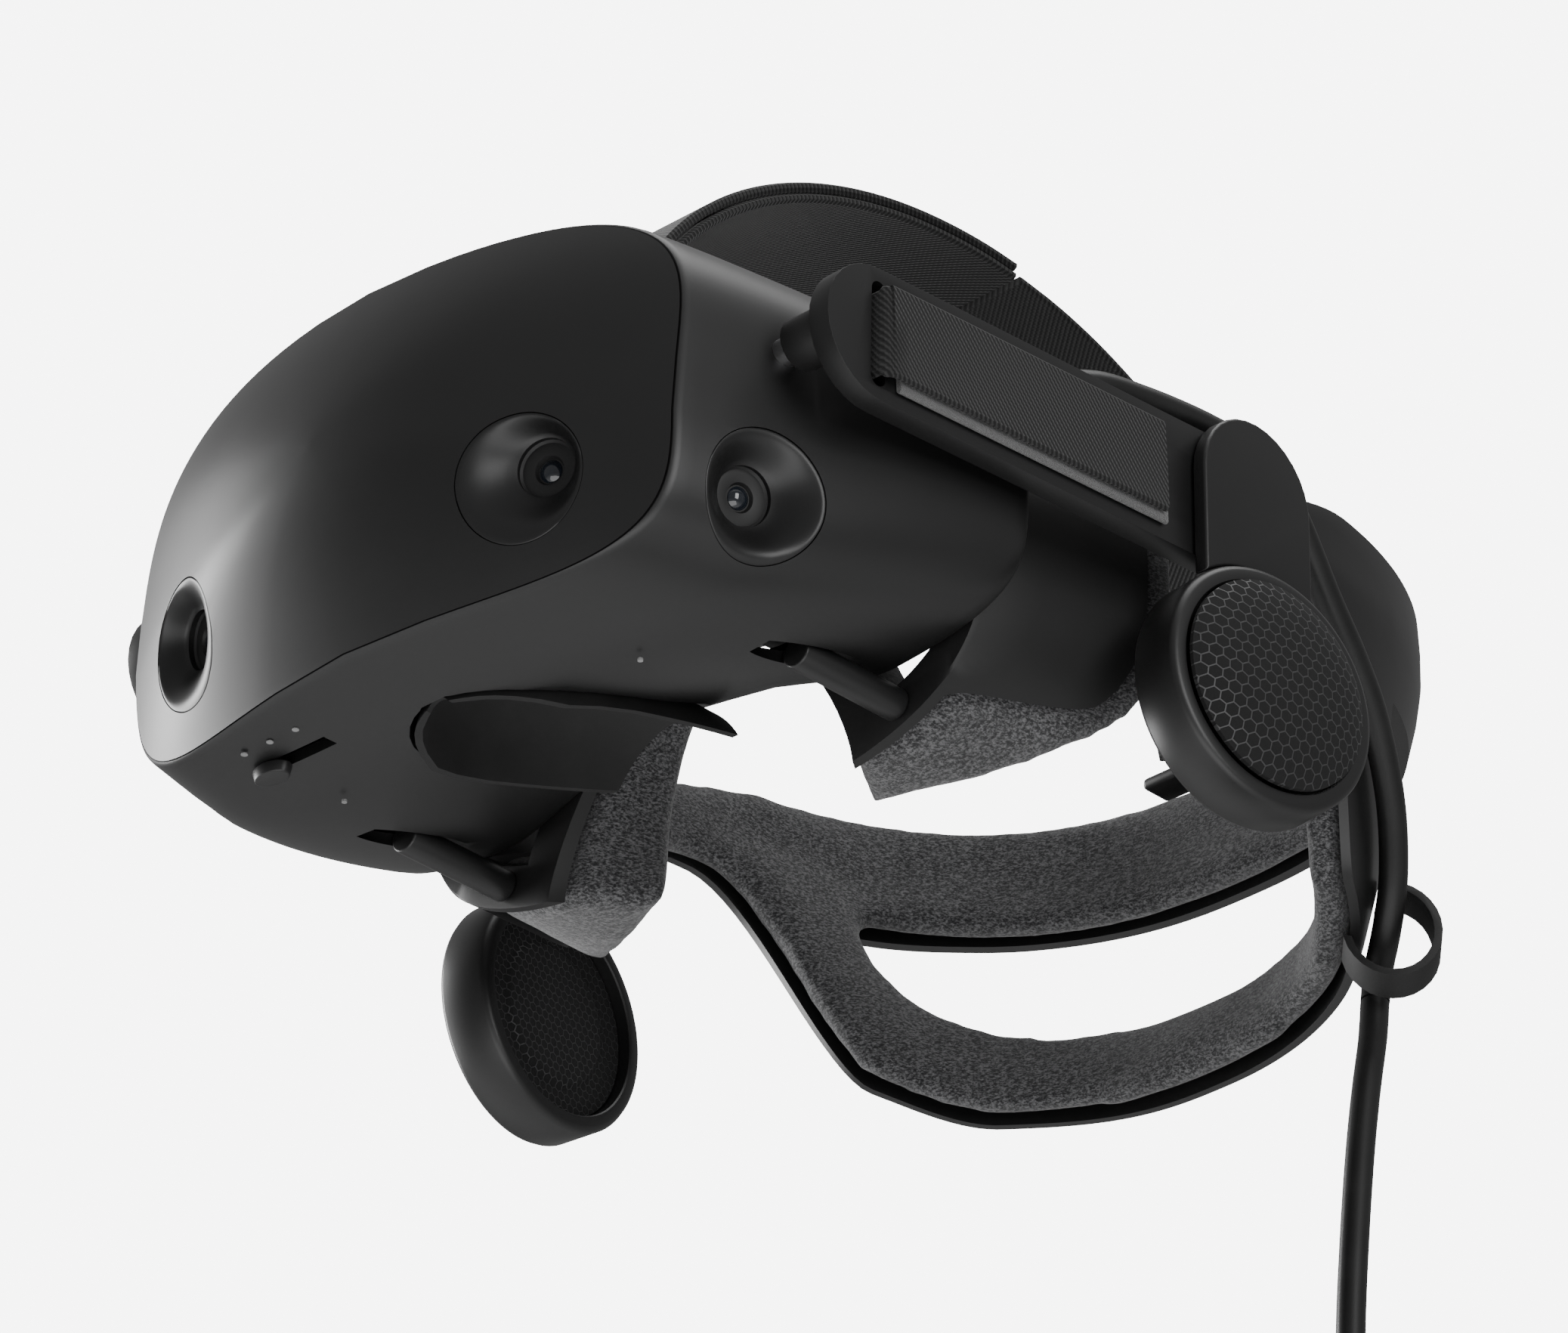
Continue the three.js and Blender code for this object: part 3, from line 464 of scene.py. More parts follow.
def smooth_path(points, step=2.0):
    """Points in millimetres, run through by a Catmull-Rom curve in steps of about that length."""
    points = [Vector(p) for p in points]
    ends = [points[0] * 2 - points[1], *points, points[-1] * 2 - points[-2]]
    path = []
    for a, b, c, d in zip(ends, ends[1:], ends[2:], ends[3:]):
        count = max(2, round((c - b).length / step))
        for i in range(count):
            t = i / count
            path.append(0.5 * (2 * b + (c - a) * t + (2 * a - 5 * b + 4 * c - d) * t * t
                               + (3 * b - a - 3 * c + d) * t ** 3))
    return path + [points[-1]]


def tube(path, radius, sides=20):
    """A round bar along a path, with its length kept for the finish."""
    rings, run, runs = [], 0.0, []
    up = Vector((0.3, 0.2, 1)).normalized()
    for i, point in enumerate(path):
        ahead = (path[min(i + 1, len(path) - 1)] - path[max(i - 1, 0)]).normalized()
        out = (up - ahead * up.dot(ahead)).normalized()
        up = out
        other = ahead.cross(out)
        run += (point - path[i - 1]).length if i else 0
        runs.append(run)
        turns = [2 * math.pi * k / sides for k in range(sides)]
        rings.append([point + (out * math.cos(t) + other * math.sin(t)) * radius for t in turns])
    return loft(rings, weave=lambda i, j: (radius * 2 * math.pi * j / sides, runs[i], 0))


def signed_power(value, power):
    return math.copysign(abs(value) ** power, value)


def ramp(value, low, high):
    return min(1, max(0, (value - low) / (high - low)))


def ease(value, low, high):
    share = ramp(value, low, high)
    return share * share * (3 - 2 * share)


# ---------------------------------------------------------------- visor
def outline(half, top, bottom, over, under, count=120):
    """A rounded outline across the visor. Its corners are superellipses."""
    middle, ring = (top + bottom) / 2, []
    for i in range(count):
        turn = 2 * math.pi * i / count
        power = 2 / (over if math.sin(turn) > 0 else under)
        height = (top - bottom) / 2 * signed_power(math.sin(turn), power)
        ring.append((half * signed_power(math.cos(turn), power), middle + height))
    return ring


def cover_outline(inset):
    return outline(COVER["half"] - inset, COVER["top"] - inset, COVER["bottom"] + inset, COVER["over"],
                   COVER["under"])


def face_y(x, z, reach):
    """The front face: swept back to its ends, its top and its foot, and crowned by reach."""
    tall = (COVER["top"] - COVER["bottom"]) / 2
    swept = FACE["sweep_x"] * (abs(x) / COVER["half"]) ** FACE["power_x"]
    leaned = FACE["sweep_z"] * (abs(z - FACE["mid_z"]) / tall) ** FACE["power_z"]
    return FACE["front"] + swept + leaned - FACE["crown"] * (1 - reach ** 2)


def cover_ring(reach, inset, back):
    middle = (COVER["top"] + COVER["bottom"]) / 2
    ring = []
    for (x, z), (fx, fz) in zip(cover_outline(inset), cover_outline(0)):
        y = face_y(fx * reach, middle + (fz - middle) * reach, reach) + back
        ring.append((x * reach, y, middle + (z - middle) * reach))
    return ring


def camera_matrix(kind, side):
    x, y, z, yaw, pitch = CAMERA_AT[kind]
    turn = Matrix.Rotation(side * math.radians(yaw), 4, "Z") @ Matrix.Rotation(math.radians(-pitch), 4, "X")
    return Matrix.Translation(Vector((side * x, y, z)) * MM) @ turn @ Matrix.Rotation(math.pi / 2, 4, "X")


def camera_hole(kind, side):
    """The round hole for a camera, square to its face."""
    return placed(cylinder(CAMERA["radius"] + 0.12, (0, 0, -14), (0, 0, 8), 96), camera_matrix(kind, side))


def surface_of(made):
    """A piece's surface, kept for ray casts before holes are cut in it."""
    shape = bmesh.new()
    shape.from_mesh(made.data)
    tree = BVHTree.FromBMesh(shape)
    shape.free()
    return tree


def make_front_cover(finish):
    """Makes the crowned cover and returns its uncut surface, as make_housing does."""
    wall = COVER["wall"]
    reaches = [0.02, 0.14, 0.28, 0.42, 0.55, 0.67, 0.77, 0.86, 0.93, 0.975]
    outer = [cover_ring(reach, 0, 0) for reach in reaches]
    inner = [cover_ring(1, wall, 0)] + [cover_ring(reach, wall, wall) for reach in reversed(reaches)]
    made = piece("front_cover_shell", loft(outer + [cover_ring(1, 0, 0)] + inner), finish, "visor",
                 ("front_cover",))
    surface = surface_of(made)
    carve(made, [camera_hole("front", side) for _, side in SIDES])
    return surface


def housing_ring(share, inset):
    half = 75 + (HOUSING["half"] - 75) * math.sin(share * math.pi / 2) - inset
    top = 67.5 + (HOUSING["top"] - 67.5) * share ** 1.6 - inset
    bottom = -16 + (HOUSING["bottom"] + 16) * max(0, (share - 0.3) / 0.7) ** 1.3 + inset
    ring = []
    for (x, z), (rx, rz) in zip(outline(half, top, bottom, COVER["over"], COVER["under"]), cover_outline(0)):
        edge = face_y(rx, rz, 1) + GAP
        arch = HOUSING["arch"] * share ** 3 * max(0, 1 - (x / HOUSING["arch_half"]) ** 2) ** 1.5
        lift = arch if z < (top + bottom) / 2 else 0
        ring.append((x, edge + (HOUSING["rear"] - edge) * share, z + lift))
    return ring


def nose_section(y, half, front, floor, height, count=40):
    run = min(1, max(0.02, (y - front) / 34))
    share = math.sqrt(1 - (1 - run) ** 2)
    turns = [math.pi * i / count for i in range(count + 1)]
    return [(half * share * math.cos(t), y, floor + height * share * math.sin(t)) for t in turns]


def nose_block(half, front, floor, height):
    steps = [0.3, 1, 2, 4, 7, 11, 16, 23, 32, 45, 60, 74]
    return loft([nose_section(front + step, half, front, floor, height) for step in steps])


def make_housing(finish):
    shares = [0, 0.006, 0.02] + [i / 18 for i in range(1, 18)] + [0.985, 1]
    outer = [housing_ring(share, {0: 0.45, 0.006: 0.1, 1: 0.6, 0.985: 0.1}.get(share, 0)) for share in shares]
    inner = [housing_ring(share, HOUSING["wall"]) for share in reversed(shares[::2] + [1])]
    made = piece("housing_shell", loft(outer + inner, loop=True), finish, "visor",
                 ("main_housing",))
    cutters = [nose_block(NOSE["half"] + 1, NOSE["front"] - 1, NOSE["floor"], NOSE["height"] + 1),
               block((-43.2, -130.8, -26), (-25.2, -127.2, -4))]
    surface = surface_of(made)
    for _, side in SIDES:
        cutters.append(camera_hole("side", side))
        cutters.append(cylinder(POST[2] + 0.8, (side * POST[0], -92, POST[1]), (side * POST[0], -30, POST[1])))
    carve(made, cutters)
    return surface


def make_nose_guard(finish):
    wall, rings = NOSE["wall"], []
    for step in [0.4, 1.5, 3, 5, 8, 12, 17, 24, 33, 45, 56, 62, 65]:
        y = NOSE["front"] + step
        outer = nose_section(y, NOSE["half"], NOSE["front"], NOSE["floor"], NOSE["height"])
        inner = nose_section(y, NOSE["half"] - wall, NOSE["front"] + wall, NOSE["floor"], NOSE["height"] - wall)
        rings.append(outer + inner[::-1])
    made = piece("nose_guard_skin", loft(rings), finish, "visor", ("nose_guard",))
    foot = Matrix.Translation(Vector((0, UNDERSIDE["y"], UNDERSIDE["z"])) * MM)
    rising = foot @ Matrix.Rotation(math.atan2(UNDERSIDE["rise"], UNDERSIDE["run"]), 4, "X")
    below = placed(block((-40, -100, -60), (40, 100, 0)), rising)
    carve(made, [block((-40, -140, -60), (40, -20, -16.2)), below])


def make_tracking_cameras(plastic, glass, dark, surfaces):
    """Shallow dishes whose rims lie in the shell's surface. The front eyes sit off centre."""
    radius, pupil = CAMERA["radius"], CAMERA["pupil"]
    for kind, surface in surfaces.items():
        out, up = CAMERA_SHIFT[kind]
        for name, side in SIDES:
            where = camera_matrix(kind, side)
            outward = (where.to_3x3() @ Vector((0, 0, 1))).normalized()
            offset = Vector((side * out, up, 0)) * MM
            edge = radius - 0.3
            dish = [(pupil + (edge - pupil) * i / 12,
                     -CAMERA["depth"] * (1 - ease(i / 12, -0.25, 1.0)) - 0.05) for i in range(13)]
            profile = dish + [(radius - 0.06, -0.12), (radius, -0.3), (radius, -1.8), (pupil + 1.6, -6.6),
                              (pupil, -6.6)]
            shape = turned(profile, 128)
            for vert in shape.verts:
                r = vert.co.to_2d().length / MM
                ring = ramp(r, pupil + 0.5, edge)
                vert.co += offset * (1 - ring)
                spot = where @ Vector((vert.co.x, vert.co.y, 0))
                hit = surface.ray_cast(spot + outward * 0.03, -outward, 0.06)[0]
                rise = (hit - spot).dot(outward) if hit else 0.0
                vert.co.z += rise * ring ** 1.3
            piece(f"camera_cone_{kind}_{name}", placed(shape, where), plastic, "visor",
                  (f"camera_bezel_{kind}_{name}",), sharp=50)
            moved = where @ Matrix.Translation(offset)
            barrel = [(0, -6.9), (2.6, -6.9), (3.0, -6.1), (4.3, -5.9), (5.5, -6.0), (6.3, -5.4), (6.3, -7),
                      (5.6, -12), (0, -12)]
            piece(f"camera_barrel_{kind}_{name}", placed(turned(barrel, closed=False), moved), dark, "visor",
                  (f"camera_module_{kind}_{name}",))
            eye = [(0, -5.75), (0.9, -5.85), (1.7, -6.2), (2.3, -6.75), (2.3, -6.88), (0, -6.88)]
            piece(f"camera_lens_{kind}_{name}", placed(turned(eye, 48, closed=False), moved), glass, "visor")


def make_slider_and_marks(plastic, ink):
    softened("ipd_knob", plastic, 0.35)
    for i, x in enumerate((-41.4, -34.2, -27)):
        piece(f"spacing_mark_{i}", cylinder(0.7, (x, -136.5, -16.12), (x, -136.5, -15.9), 24), ink, "visor")
    for name, side in SIDES:
        spot = cylinder(0.55, (side * 40.7, -110.4, -16.12), (side * 40.7, -110.4, -15.6), 24)
        piece(f"microphone_hole_{name}", spot, ink, "visor")


# ---------------------------------------------------------------- optics
def make_optics(glass, dark, board):
    for name, side in SIDES:
        centre = Matrix.Translation(Vector((side * EYE["x"], 0, EYE["z"])) * MM)
        back = centre @ Matrix.Rotation(-math.pi / 2, 4, "X")
        y = EYE["rear"] - 2
        ridges = []
        for i in range(14):
            r = 18.4 - i * 1.3
            bulge = y + 1.3 - 2.2 * (r / 18.7) ** 2
            ridges += [(r, bulge), (r - 1.22, bulge + 0.16)]
        profile = [(0, y - 5.6), (10, y - 5), (18.7, y - 3.4)] + ridges + [(0, y + 1.35)]
        piece(f"ridged_lens_{name}", placed(turned(profile, closed=False), back), glass, f"lens_{name}",
              (f"lens_{name}",))
        softened(f"lens_barrel_{name}", dark, 0.3, 2)
        softened(f"display_{name}", glass, 0.3, 2)
    softened("eye_plate", dark, 0.3, 2)
    softened("mainboard", board, 0.15, 1)


# ---------------------------------------------------------------- face gasket
def gasket_wrap(x):
    return GASKET["depth"] * (abs(x) / 86) ** GASKET["power"]


def seal_outline(half, top, bottom, under, notch, nose_top, arch, around=110, nose=34):
    """Round the face seal: from one side of the nose notch over the brow and back over the nose."""
    middle, height = (top + bottom) / 2, (top - bottom) / 2
    start = -math.acos((notch / half) ** (under / 2))
    ring = []
    for i in range(around + 1):
        turn = start + (math.pi - 2 * start) * i / around
        power = 2 / (3 if math.sin(turn) > 0 else under)
        ring.append((half * signed_power(math.cos(turn), power),
                     middle + height * signed_power(math.sin(turn), power)))
    foot = ring[0][1]
    for i in range(1, nose):
        turn = math.pi * (1 - i / nose)
        ring.append((notch * math.cos(turn), foot + (nose_top - foot) * math.sin(turn) ** arch))
    return ring


def deep_cloth(x, z):
    """1 under the cheeks and beside the nose, where the cushion reaches forward to a thin frame."""
    return (1 - ease(abs(x), 60, 74)) * (1 - ease(z, 26, 44))


def seal_ring(cloth, trim=0.0):
    """The hollow skirt round both eyes: its dark frame, or the cushion behind the frame."""
    outlines = [seal_outline(*numbers) for numbers in SEAL]
    rings = []
    for front, rear, front_eye, rear_eye in zip(*outlines):
        share = deep_cloth(*rear)

        def spot(across, depth_share):
            fx, fz = (a + (b - a) * across for a, b in zip(front, front_eye))
            rx, rz = (a + (b - a) * across for a, b in zip(rear, rear_eye))
            reach = gasket_wrap(rx)
            whole = GASKET["frame"] + GASKET["gap"] + GASKET["cushion"] + reach
            edge = GASKET["frame"] + reach * (1 - share)
            low, high = (edge + GASKET["gap"] * 0.4 + trim, whole - trim) if cloth else (0, edge)
            depth = low + (high - low) * depth_share
            run = depth / whole
            return fx + (rx - fx) * run, GASKET["front"] + depth, fz + (rz - fz) * run

        side = trim / math.dist(rear, rear_eye)
        levels = [0, 0.04, 0.2, 0.4, 0.6, 0.8, 0.93, 1] if cloth else [0, 0.03, 0.35, 0.7, 0.97, 1]
        tuck = 0.16 if cloth else 0.06
        outer = [spot(side + (tuck if level in (0, 1) else 0), level) for level in levels]
        inner = [spot(1 - side - (tuck if level in (0, 1) else 0), level) for level in levels]
        rings.append([*outer, spot(0.5, 1), *inner[::-1], spot(0.5, 0)])
    return loft(rings, loop=True)


def inflate(made, voxel, pressure, cap, frames=20):
    """Remeshes a pad and lets cloth under pressure swell it, by no more than cap millimetres."""
    remesh = made.modifiers.new("remesh", "REMESH")
    remesh.mode, remesh.voxel_size = "VOXEL", voxel * MM
    settle(made)
    rest = [v.co.copy() for v in made.data.vertices]
    cloth = made.modifiers.new("cloth", "CLOTH")
    cloth.settings.quality = 5
    cloth.settings.mass = 0.15
    cloth.settings.tension_stiffness = 25
    cloth.settings.use_pressure = True
    cloth.settings.uniform_pressure_force = pressure
    cloth.settings.effector_weights.gravity = 0
    cloth.collision_settings.use_collision = False
    cloth.point_cache.frame_end = frames
    for number in range(1, frames + 1):
        bpy.context.scene.frame_set(number)
    settle(made)
    bpy.context.scene.frame_set(1)
    for vert, start in zip(made.data.vertices, rest):
        move = vert.co - start
        if move.length > cap * MM:
            vert.co = start + move * (cap * MM / move.length)
    smooth = bmesh.new()
    smooth.from_mesh(made.data)
    for _ in range(5):
        bmesh.ops.smooth_vert(smooth, verts=smooth.verts, factor=0.5, use_axis_x=True, use_axis_y=True,
                              use_axis_z=True)
    smooth.to_mesh(made.data)
    smooth.free()
    finer = made.modifiers.new("finer", "SUBSURF")
    finer.levels = finer.render_levels = 1
    settle(made)
    for face in made.data.polygons:
        face.use_smooth = True


def make_gasket(cloth, dark, plastic):
    piece("gasket_frame_rim", seal_ring(False), dark, "gasket", ("gasket_frame",))
    pad = piece("face_pad", seal_ring(True, 0.5), cloth, "gasket", ("face_cushion",))
    inflate(pad, 2.4, 4, 1.6)
    for name, _ in SIDES:
        softened(f"gasket_post_{name}", plastic, 0.5)


# ---------------------------------------------------------------- arms and side straps
def arm_z(y):
    share = (y - ARM["front_y"]) / (ARM["rear_y"] - ARM["front_y"])
    return ARM["front_z"] + share * (ARM["rear_z"] - ARM["front_z"])


def webbing(path, across, halves, thick):
    """A flat strap along a path. across is its width's direction, halves its half widths."""
    corner = 0.35 * thick
    rings, run, runs = [], 0.0, []
    sections = []
    for i, point in enumerate(path):
        ahead = (path[min(i + 1, len(path) - 1)] - path[max(i - 1, 0)]).normalized()
        side = (across - ahead * across.dot(ahead)).normalized()
        out = ahead.cross(side)
        half = halves[i]
        run += (point - path[i - 1]).length if i else 0
        runs.append(run)
        spans = [-half, -half + corner, -half / 3, half / 3, half - corner, half]
        rises = [0.2, 0.5, 0.5, 0.5, 0.5, 0.2]
        section = [(a, -rise * thick) for a, rise in zip(spans, rises)]
        section += [(a, rise * thick) for a, rise in reversed(list(zip(spans, rises)))]
        sections.append(section)
        rings.append([point + side * a + out * n for a, n in section])
    return loft(rings, weave=lambda i, j: (sections[i][j][0], runs[i], sections[i][j][1]))


def make_arms(plastic, web, tape, steel, dark):
    out = ARM["inner"] + ARM["thick"] + GAP
    inside = ARM["inner"] - GAP - STRAP["web"] / 2
    outside = out + 1.5 * STRAP["web"]
    slot_y, end_y = STRAP["slot_y"], STRAP["end_y"]
    for name, side in SIDES:
        softened(f"arm_{name}", plastic, 0.9, 4, angle=30)
        softened(f"arm_pivot_{name}", steel, 0.3, 2)
        softened(f"arm_spacer_{name}", dark, 0.4, 2)
        corners = [(inside, -34), (inside, slot_y + 4), (inside + 0.5, slot_y + 1.2), (ARM["inner"] + 0.8, slot_y),
                   (out - 0.5, slot_y), (out + 0.9, slot_y + 0.15), (outside - 0.2, slot_y + 1.7),
                   (outside, slot_y + 5), (outside, -66), (outside, end_y)]
        path = smooth_path([Vector((side * x, y, arm_z(y))) for x, y in corners], 1.5)
        half = STRAP["height"] / 2
        halves = [half if abs(p.x) > out + 0.6 else half - 0.6 for p in path]
        strap = webbing(path, Vector((0, 0, 1)), halves, STRAP["web"])
        piece(f"side_webbing_{name}", strap, web, "arms", (f"side_strap_{name}",))
        tape_x = side * (out + 0.55)
        run = smooth_path([Vector((tape_x, y, arm_z(y) - 0.7)) for y in (-101, -60, end_y + 1.6)], 2)
        layer = webbing(run, Vector((0, 0, 1)), [half + 0.9] * len(run), 1.2)
        piece(f"loop_tape_{name}", layer, tape, "arms")


# ---------------------------------------------------------------- ear speakers
def make_speakers(plastic, outer_mesh, inner_mesh, dark, steel):
    half, lip, radius, dome = EAR["half"], EAR["lip"], EAR["radius"], EAR["dome"]
    for name, side in SIDES:
        body = f"speaker_{name}"
        turn = Matrix.Rotation(side * math.radians(-90 - EAR["toe"]), 4, "Z")
        where = Matrix.Translation((side * EAR["x"] * MM, 0, 0)) @ turn @ Matrix.Rotation(-math.pi / 2, 4, "X")
        ring = [(lip + 0.3, -half), (radius - 1.4, -half), (radius - 0.5, -half + 0.45), (radius, -half + 1.4),
                (radius, half - 1.4), (radius - 0.5, half - 0.45), (radius - 1.4, half), (lip + 0.3, half),
                (lip, half - 0.3), (lip, 1), (18, 1), (18, -1), (lip, -1), (lip, -half + 0.3)]
        piece(f"ear_ring_{name}", placed(turned(ring, 128), where), plastic, body,
              (f"speaker_ring_{name}",))
        radii = [lip - GAP - i * (lip - GAP) / 16 for i in range(17)]
        rise = [half - 1 + dome * math.sqrt(max(0, 1 - (r / (lip + 1)) ** 2.4)) for r in radii]
        shell = list(zip(radii, rise)) + [(r, h - 0.9) for r, h in reversed(list(zip(radii, rise)))]
        piece(f"ear_dome_{name}", placed(turned(shell, 128), where), outer_mesh, body,
              (f"speaker_dome_{name}",))
        dish = [(0, -4.2), (14.4, -4.2), (15.1, -3.9), (15.7, -3.3), (16.4, -3.2), (lip - GAP, -3.2),
                (lip - GAP, -2.4), (15.4, -2.4), (14.2, -3.3), (0, -3.3)]
        piece(f"ear_mesh_{name}", placed(turned(dish, 128, closed=False), where), inner_mesh, body,
              (f"speaker_mesh_{name}",))
        driver = [(0, -2.2), (6, -2.1), (8, -1.5), (15, -1.9), (17, -1.4), (17, 1.4), (12, 3.2), (0, 3.2)]
        piece(f"ear_driver_{name}", placed(turned(driver, 64, closed=False), where), dark, body,
              (f"speaker_driver_{name}",))
        softened(f"speaker_hanger_{name}", plastic, 0.8, 4, angle=30)
        softened(f"hanger_pin_{name}", steel, 0.3, 2)


# ---------------------------------------------------------------- halo
def halo_point(turn, off, z):
    """turn 0 is the halo's right end, 90 its back and 180 its left end."""
    inset = off + HALO["taper"] * max(0, HALO["upright"] - z)
    turn, power = math.radians(turn), 2 / HALO["power"]
    x = -(HALO["half"] - inset) * signed_power(math.cos(turn), power)
    return Vector((x, HALO["y"] + (HALO["back"] - inset) * signed_power(math.sin(turn), power), z))


def from_end(turn):
    return min(turn, 180 - turn)


def halo_top(turn):
    return 56 + 8.6 * ease(from_end(turn), -6, 14) + 1.4 * ease(from_end(turn), 40, 90)


def halo_foot(turn):
    end = from_end(turn)
    return 36 + 6.5 * ease(end, -2, 5) - 44 * ease(end, 7, 33) - 8.5 * ease(end, 25, 55) - 3 * ease(end, 55, 90)


def open_top(turn):
    return 37 + ease(from_end(turn), 31, 50) - ease(from_end(turn), 60, 90)


def open_foot(turn):
    closing = (1 - ramp(from_end(turn), 31, 90)) ** 3.2
    return open_top(turn) - 1 - 29 * max(0, 1 - closing) ** 0.55


def halo_band(low, high, off0, off1, start, end, count, heights=9, edge=0.0):
    """A band of the halo between two heights, off0 to off1 inside its outer line."""
    rings = []
    for i in range(count + 1):
        turn = start + (end - start) * i / count
        zs = [low(turn) + (high(turn) - low(turn)) * k / heights for k in range(heights + 1)]
        outer = [halo_point(turn, off0, z) for z in zs]
        inner = [halo_point(turn, off1, z) for z in zs]
        for row, step in ((outer, edge), (inner, -edge)):
            row[0] = halo_point(turn, (off0 if row is outer else off1) + step, zs[0])
            row[-1] = halo_point(turn, (off0 if row is outer else off1) + step, zs[-1])
        rings.append(outer + inner[::-1])
    return loft(rings)


def halo_opening(grow):
    return halo_band(lambda t: open_foot(t) - grow, lambda t: open_top(t) + grow, -6, 20, 31 - grow / 2,
                     149 + grow / 2, 72)


def make_halo(cloth, plastic, dark):
    shell = piece("halo_rim", halo_band(halo_foot, halo_top, 0, HALO["shell"], 0, 180, 120, 12, 0.35), plastic,
                  "halo", ("halo_shell",))
    carve(shell, [halo_opening(0)])
    edges = shell.modifiers.new("edges", "BEVEL")
    edges.width, edges.segments, edges.limit_method, edges.angle_limit = 0.5 * MM, 3, "ANGLE", math.radians(50)
    settle(shell)
    for name, side in SIDES:
        low, high = sorted((side * (HALO["half"] - 0.2), side * (HALO["half"] - 2.8)))
        tongue = rounded(block((low, -26, 38), (high, 12, 52)), 0.9)
        piece(f"halo_tongue_{name}", tongue, dark, "halo")
    off0, off1 = HALO["shell"] + 0.3, HALO["shell"] + HALO["pad"] - 1.0
    pad = piece("halo_pad", halo_band(lambda t: halo_foot(t) + 0.7, lambda t: halo_top(t) - 0.7, off0, off1,
                                      0.8, 179.2, 120, 12, 0.8), cloth, "halo",
                ("halo_cushion",))
    carve(pad, [halo_opening(0.9)])
    inflate(pad, 2.2, 4, 1.4)


# ---------------------------------------------------------------- crown strap
def crown_point(turn, off):
    turn = math.radians(turn)
    long = CROWN["back"] if turn > math.pi / 2 else CROWN["front"]
    tall = CROWN["rise"] + off
    return Vector((0, CROWN["y"] - (long + off) * math.cos(turn), CROWN["z"] + tall * math.sin(turn)))


def make_crown_strap(web, plastic):
    thick = CROWN["thick"]
    under, over = thick / 2, 1.5 * thick + GAP
    inner = [crown_point(turn, under) for turn in range(97, 19, -5)]
    fold = [Vector((0, y, z)) for y, z in ((-85.5, 80), (-83.9, 75.4), (-83.7, 72.6), (-85.4, 71.5), (-91, 71.5),
                                           (-96.6, 71.5), (-98.2, 72.8), (-98, 76), (-95.8, 80.5))]
    outer = [crown_point(turn, over) for turn in range(17, 100, 5)]
    path = smooth_path(inner + fold + outer, 2.0)
    halves = [CROWN["half"] if p.z > 77 else CROWN["half"] - 0.4 for p in path]
    front = webbing(path, Vector((1, 0, 0)), halves, thick * 0.92)
    front = piece("crown_webbing_front", front, web, None,
                  ("crown_strap_front", "crown_strap_fold"))
    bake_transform(front)
    path = smooth_path([crown_point(turn, under) for turn in range(98, 176, 6)], 2.0)
    rear = webbing(path, Vector((1, 0, 0)), [CROWN["half"]] * len(path), thick * 0.92)
    rear = piece("crown_webbing_rear", rear, web, None, ("crown_strap_rear",))
    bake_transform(rear)
    softened("crown_anchor", plastic, 0.8)
    tab = rounded(block((-21, 100.2, 66.6), (21, 108.4, 69.4)), 1.1)
    piece("crown_strap_tab", tab, plastic, "halo")


# ---------------------------------------------------------------- cable
ARM_RUN = [(80, -49.5, 53.7), (80.6, -48, 54.6), (83.6, -43.6, 57.4), (87.4, -34, 60.8), (89.2, -22, 62.2),
           (91, -10, 62.4), (92.4, 0, 61.8)]
OVER_ARM = [(92.6, 0.5, 61.7), (92.9, 8, 60.8), (92.8, 15, 57.2)]
HALO_RUN = [(3.8, 50), (8.6, 40.5), (14.6, 32.7), (21.4, 25), (30.8, 14.5), (40, 5), (46, -3), (51.5, -9.5)]
CLIP_END = (54.6, 86.4, -17)
FREE_RUN = [(54.6, 86.3, -17.4), (55.2, 84.8, -26), (56.4, 81, -40), (57.4, 77.6, -56), (58, 74.8, -76),
            (58, 73.2, -97), (58, 72.8, -118), (58, 72.8, -138), (58, 72.8, -158), (58, 72.8, -177)]


def coil_path():
    """Winds the spare cable in layers, then crosses beside them and leaves downwards."""
    pitch, per_turn = COIL["pitch"], 36
    points, turn = [], 0.0

    def wind(turns, x0, x1, r0, r1):
        nonlocal turn
        count = round(turns * per_turn)
        for i in range(1, count + 1):
            share = i / count
            angle = -2 * math.pi * (turn + turns * share)
            x, r = x0 + (x1 - x0) * share, r0 + (r1 - r0) * ease(share, 0, 1)
            y, z = COIL["y"] + r * math.cos(angle), COIL["z"] + r * math.sin(angle)
            points.append(Vector((COIL["x"] + x, y, z)))
        turn += turns

    low, high, radius = -2 * pitch, (COIL["turns"] - 2) * pitch, COIL["outer"]
    for layer in range(COIL["layers"]):
        start, end = (low, high) if layer % 2 == 0 else (high, low)
        wind(COIL["turns"], start, end, radius, radius)
        if layer < COIL["layers"] - 1:
            wind(1 / 6, end, end, radius, radius - pitch)
            radius -= pitch
    wind(1 / 3, high, 2 * pitch, radius, radius + 1)
    wind(1, 2 * pitch, 2 * pitch, radius + 1, COIL["outer"])
    return points


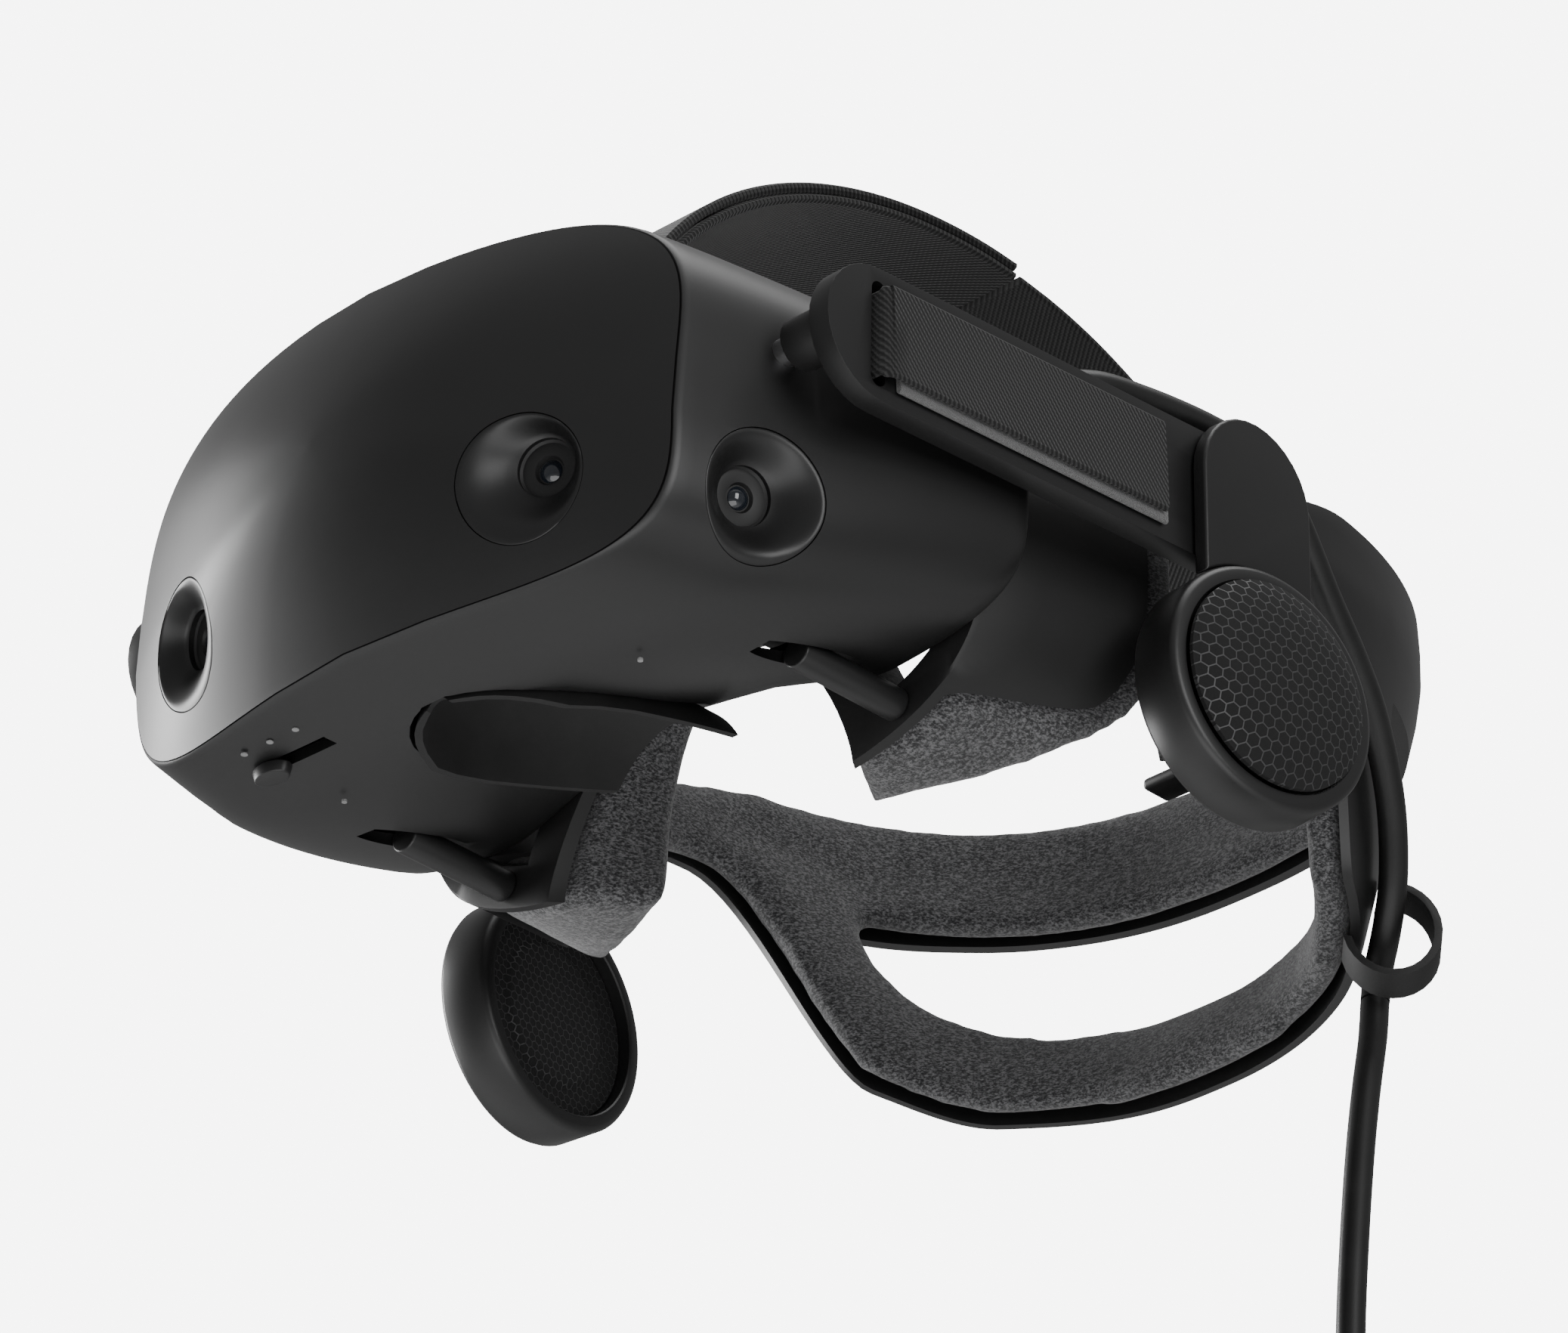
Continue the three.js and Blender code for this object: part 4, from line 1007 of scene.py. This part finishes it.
def make_cable(skin_finish):
    arm = piece("cable_by_arm", tube(smooth_path(ARM_RUN), CABLE), skin_finish, None,
                ("cable_arm_run",))
    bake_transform(arm)
    along = [halo_point(180 - turn, -CABLE - 0.8, z) for turn, z in HALO_RUN]
    halo = piece("cable_by_halo", tube(smooth_path([*OVER_ARM, *along, CLIP_END]), CABLE), skin_finish, None,
                 ("cable_halo_run",))
    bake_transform(halo)
    free = smooth_path([*FREE_RUN, (58, 72.8, -192), (58, 72.8, COIL["z"])], 4.0)
    end = [Vector((COIL["x"] + 2 * COIL["pitch"], COIL["y"] + COIL["outer"], COIL["z"] - d)) for d in (8, 20, 43)]
    path = free + coil_path() + end
    metres = [p * MM for p in path]
    length = sum((b - a).length for a, b in zip(metres, metres[1:]))
    cord = piece("free_cable", tube(path, CABLE, 14), skin_finish, "halo",
                 ("cable_free", "cable_coil", "cable_tail"))
    return cord, metres, length


def make_cable_ends(skin_finish, plastic, steel, web, cord, metres, length):
    softened("cable_clip", skin_finish, 0.35)
    plug = softened("cable_plug", plastic, 1.8, 4)
    shell = softened("plug_shell", steel, 0.5, 2)
    tie = softened("cable_tie", web, 0.5, 2)
    relief = [(0, 0), (4.5, 0), (4.6, 0.4), (4.6, 1.6)]
    for i in range(4):
        r, h = 4.2 - 0.22 * i, 1.9 + 1.5 * i
        relief += [(r, h), (r - 0.02, h + 0.9), (r - 0.55, h + 1.0), (r - 0.55, h + 1.4)]
    relief += [(3.2, 8.2), (0, 8.2)]
    where = Matrix.Translation(Vector((79, -53.6, 53.4)) * MM) @ Matrix.Rotation(-math.pi / 2 + 0.12, 4, "X")
    piece("cable_strain_relief", placed(turned(relief, 48, closed=False), where), skin_finish, "visor",
          ("cable_gland",))


# ---------------------------------------------------------------- the object
make_camera()
CABLE_SKIN = rubber("cable_skin", 0.006, 0.42)
CORD = make_cable(CABLE_SKIN)
SATIN = moulded_plastic("satin_plastic", 0.0075, 0.4, 0.006)
MATTE = moulded_plastic("matte_plastic", 0.006, 0.55, 0.01)
RUBBER = rubber("soft_rubber", 0.007)
CLOTH = heather_cloth()
WEB = twill_webbing("twill_webbing")
STEEL = brushed_steel()
GLASS = polished_glass("coated_glass", (0.006, 0.008, 0.012))
make_cable_ends(RUBBER, MATTE, STEEL, WEB, *CORD)
SURFACES = {"front": make_front_cover(SATIN), "side": make_housing(SATIN)}
make_nose_guard(RUBBER)
make_tracking_cameras(SATIN, GLASS, MATTE, SURFACES)
make_slider_and_marks(SATIN, rubber("ink", 0.2))
make_optics(GLASS, MATTE, circuit_board())
make_gasket(CLOTH, MATTE, SATIN)
make_arms(SATIN, WEB, hook_loop(), STEEL, MATTE)
OUTER_GRILLE = hex_grille("outer_grille", 2.7, 0.2, 0.05, 0.006)
INNER_GRILLE = hex_grille("inner_grille", 2.0, 0.16, 0.05, 0.006)
make_speakers(SATIN, OUTER_GRILLE, INNER_GRILLE, RUBBER, STEEL)
make_halo(CLOTH, SATIN, MATTE)
make_crown_strap(WEB, SATIN)

# ---------------------------------------------------------------- studio
def make_sky():
    """White where it is seen, and dim where it lights the object."""
    world = bpy.data.worlds.new("studio")
    bpy.context.scene.world = world
    world.use_nodes = True
    sky = world.node_tree
    seen, dim = sky.nodes["Background"], sky.nodes.new("ShaderNodeBackground")
    for background, strength in ((seen, 7.0), (dim, 0.32)):
        background.inputs["Color"].default_value = (1, 1, 1, 1)
        background.inputs["Strength"].default_value = strength
    choose, rays = sky.nodes.new("ShaderNodeMixShader"), sky.nodes.new("ShaderNodeLightPath")
    sky.links.new(rays.outputs["Is Camera Ray"], choose.inputs[0])
    sky.links.new(dim.outputs[0], choose.inputs[1])
    sky.links.new(seen.outputs[0], choose.inputs[2])
    sky.links.new(choose.outputs[0], sky.nodes["World Output"].inputs["Surface"])


def make_floor(finish, height):
    grid = bmesh.new()
    bmesh.ops.create_grid(grid, x_segments=8, y_segments=8, size=8)
    bmesh.ops.translate(grid, vec=(0, 0, height), verts=grid.verts)
    mesh = bpy.data.meshes.new("floor")
    grid.to_mesh(mesh)
    grid.free()
    mesh.materials.append(finish)
    floor = bpy.data.objects.new("floor", mesh)
    bpy.context.collection.objects.link(floor)


make_sky()
make_light("rim_light", (-2.0, -0.5, 0.35), (0.5, 1.6), 60)
make_light("side_light", (2.2, -0.5, 0.2), (0.9, 1.4), 26)
make_light("low_light", (0.5, -0.6, -1.15), (1.8, 1.2), 14)
make_light("top_light", (0.4, 0.2, 2.3), (1.6, 1.6), 30)
make_floor(pale_floor(), -1.25)
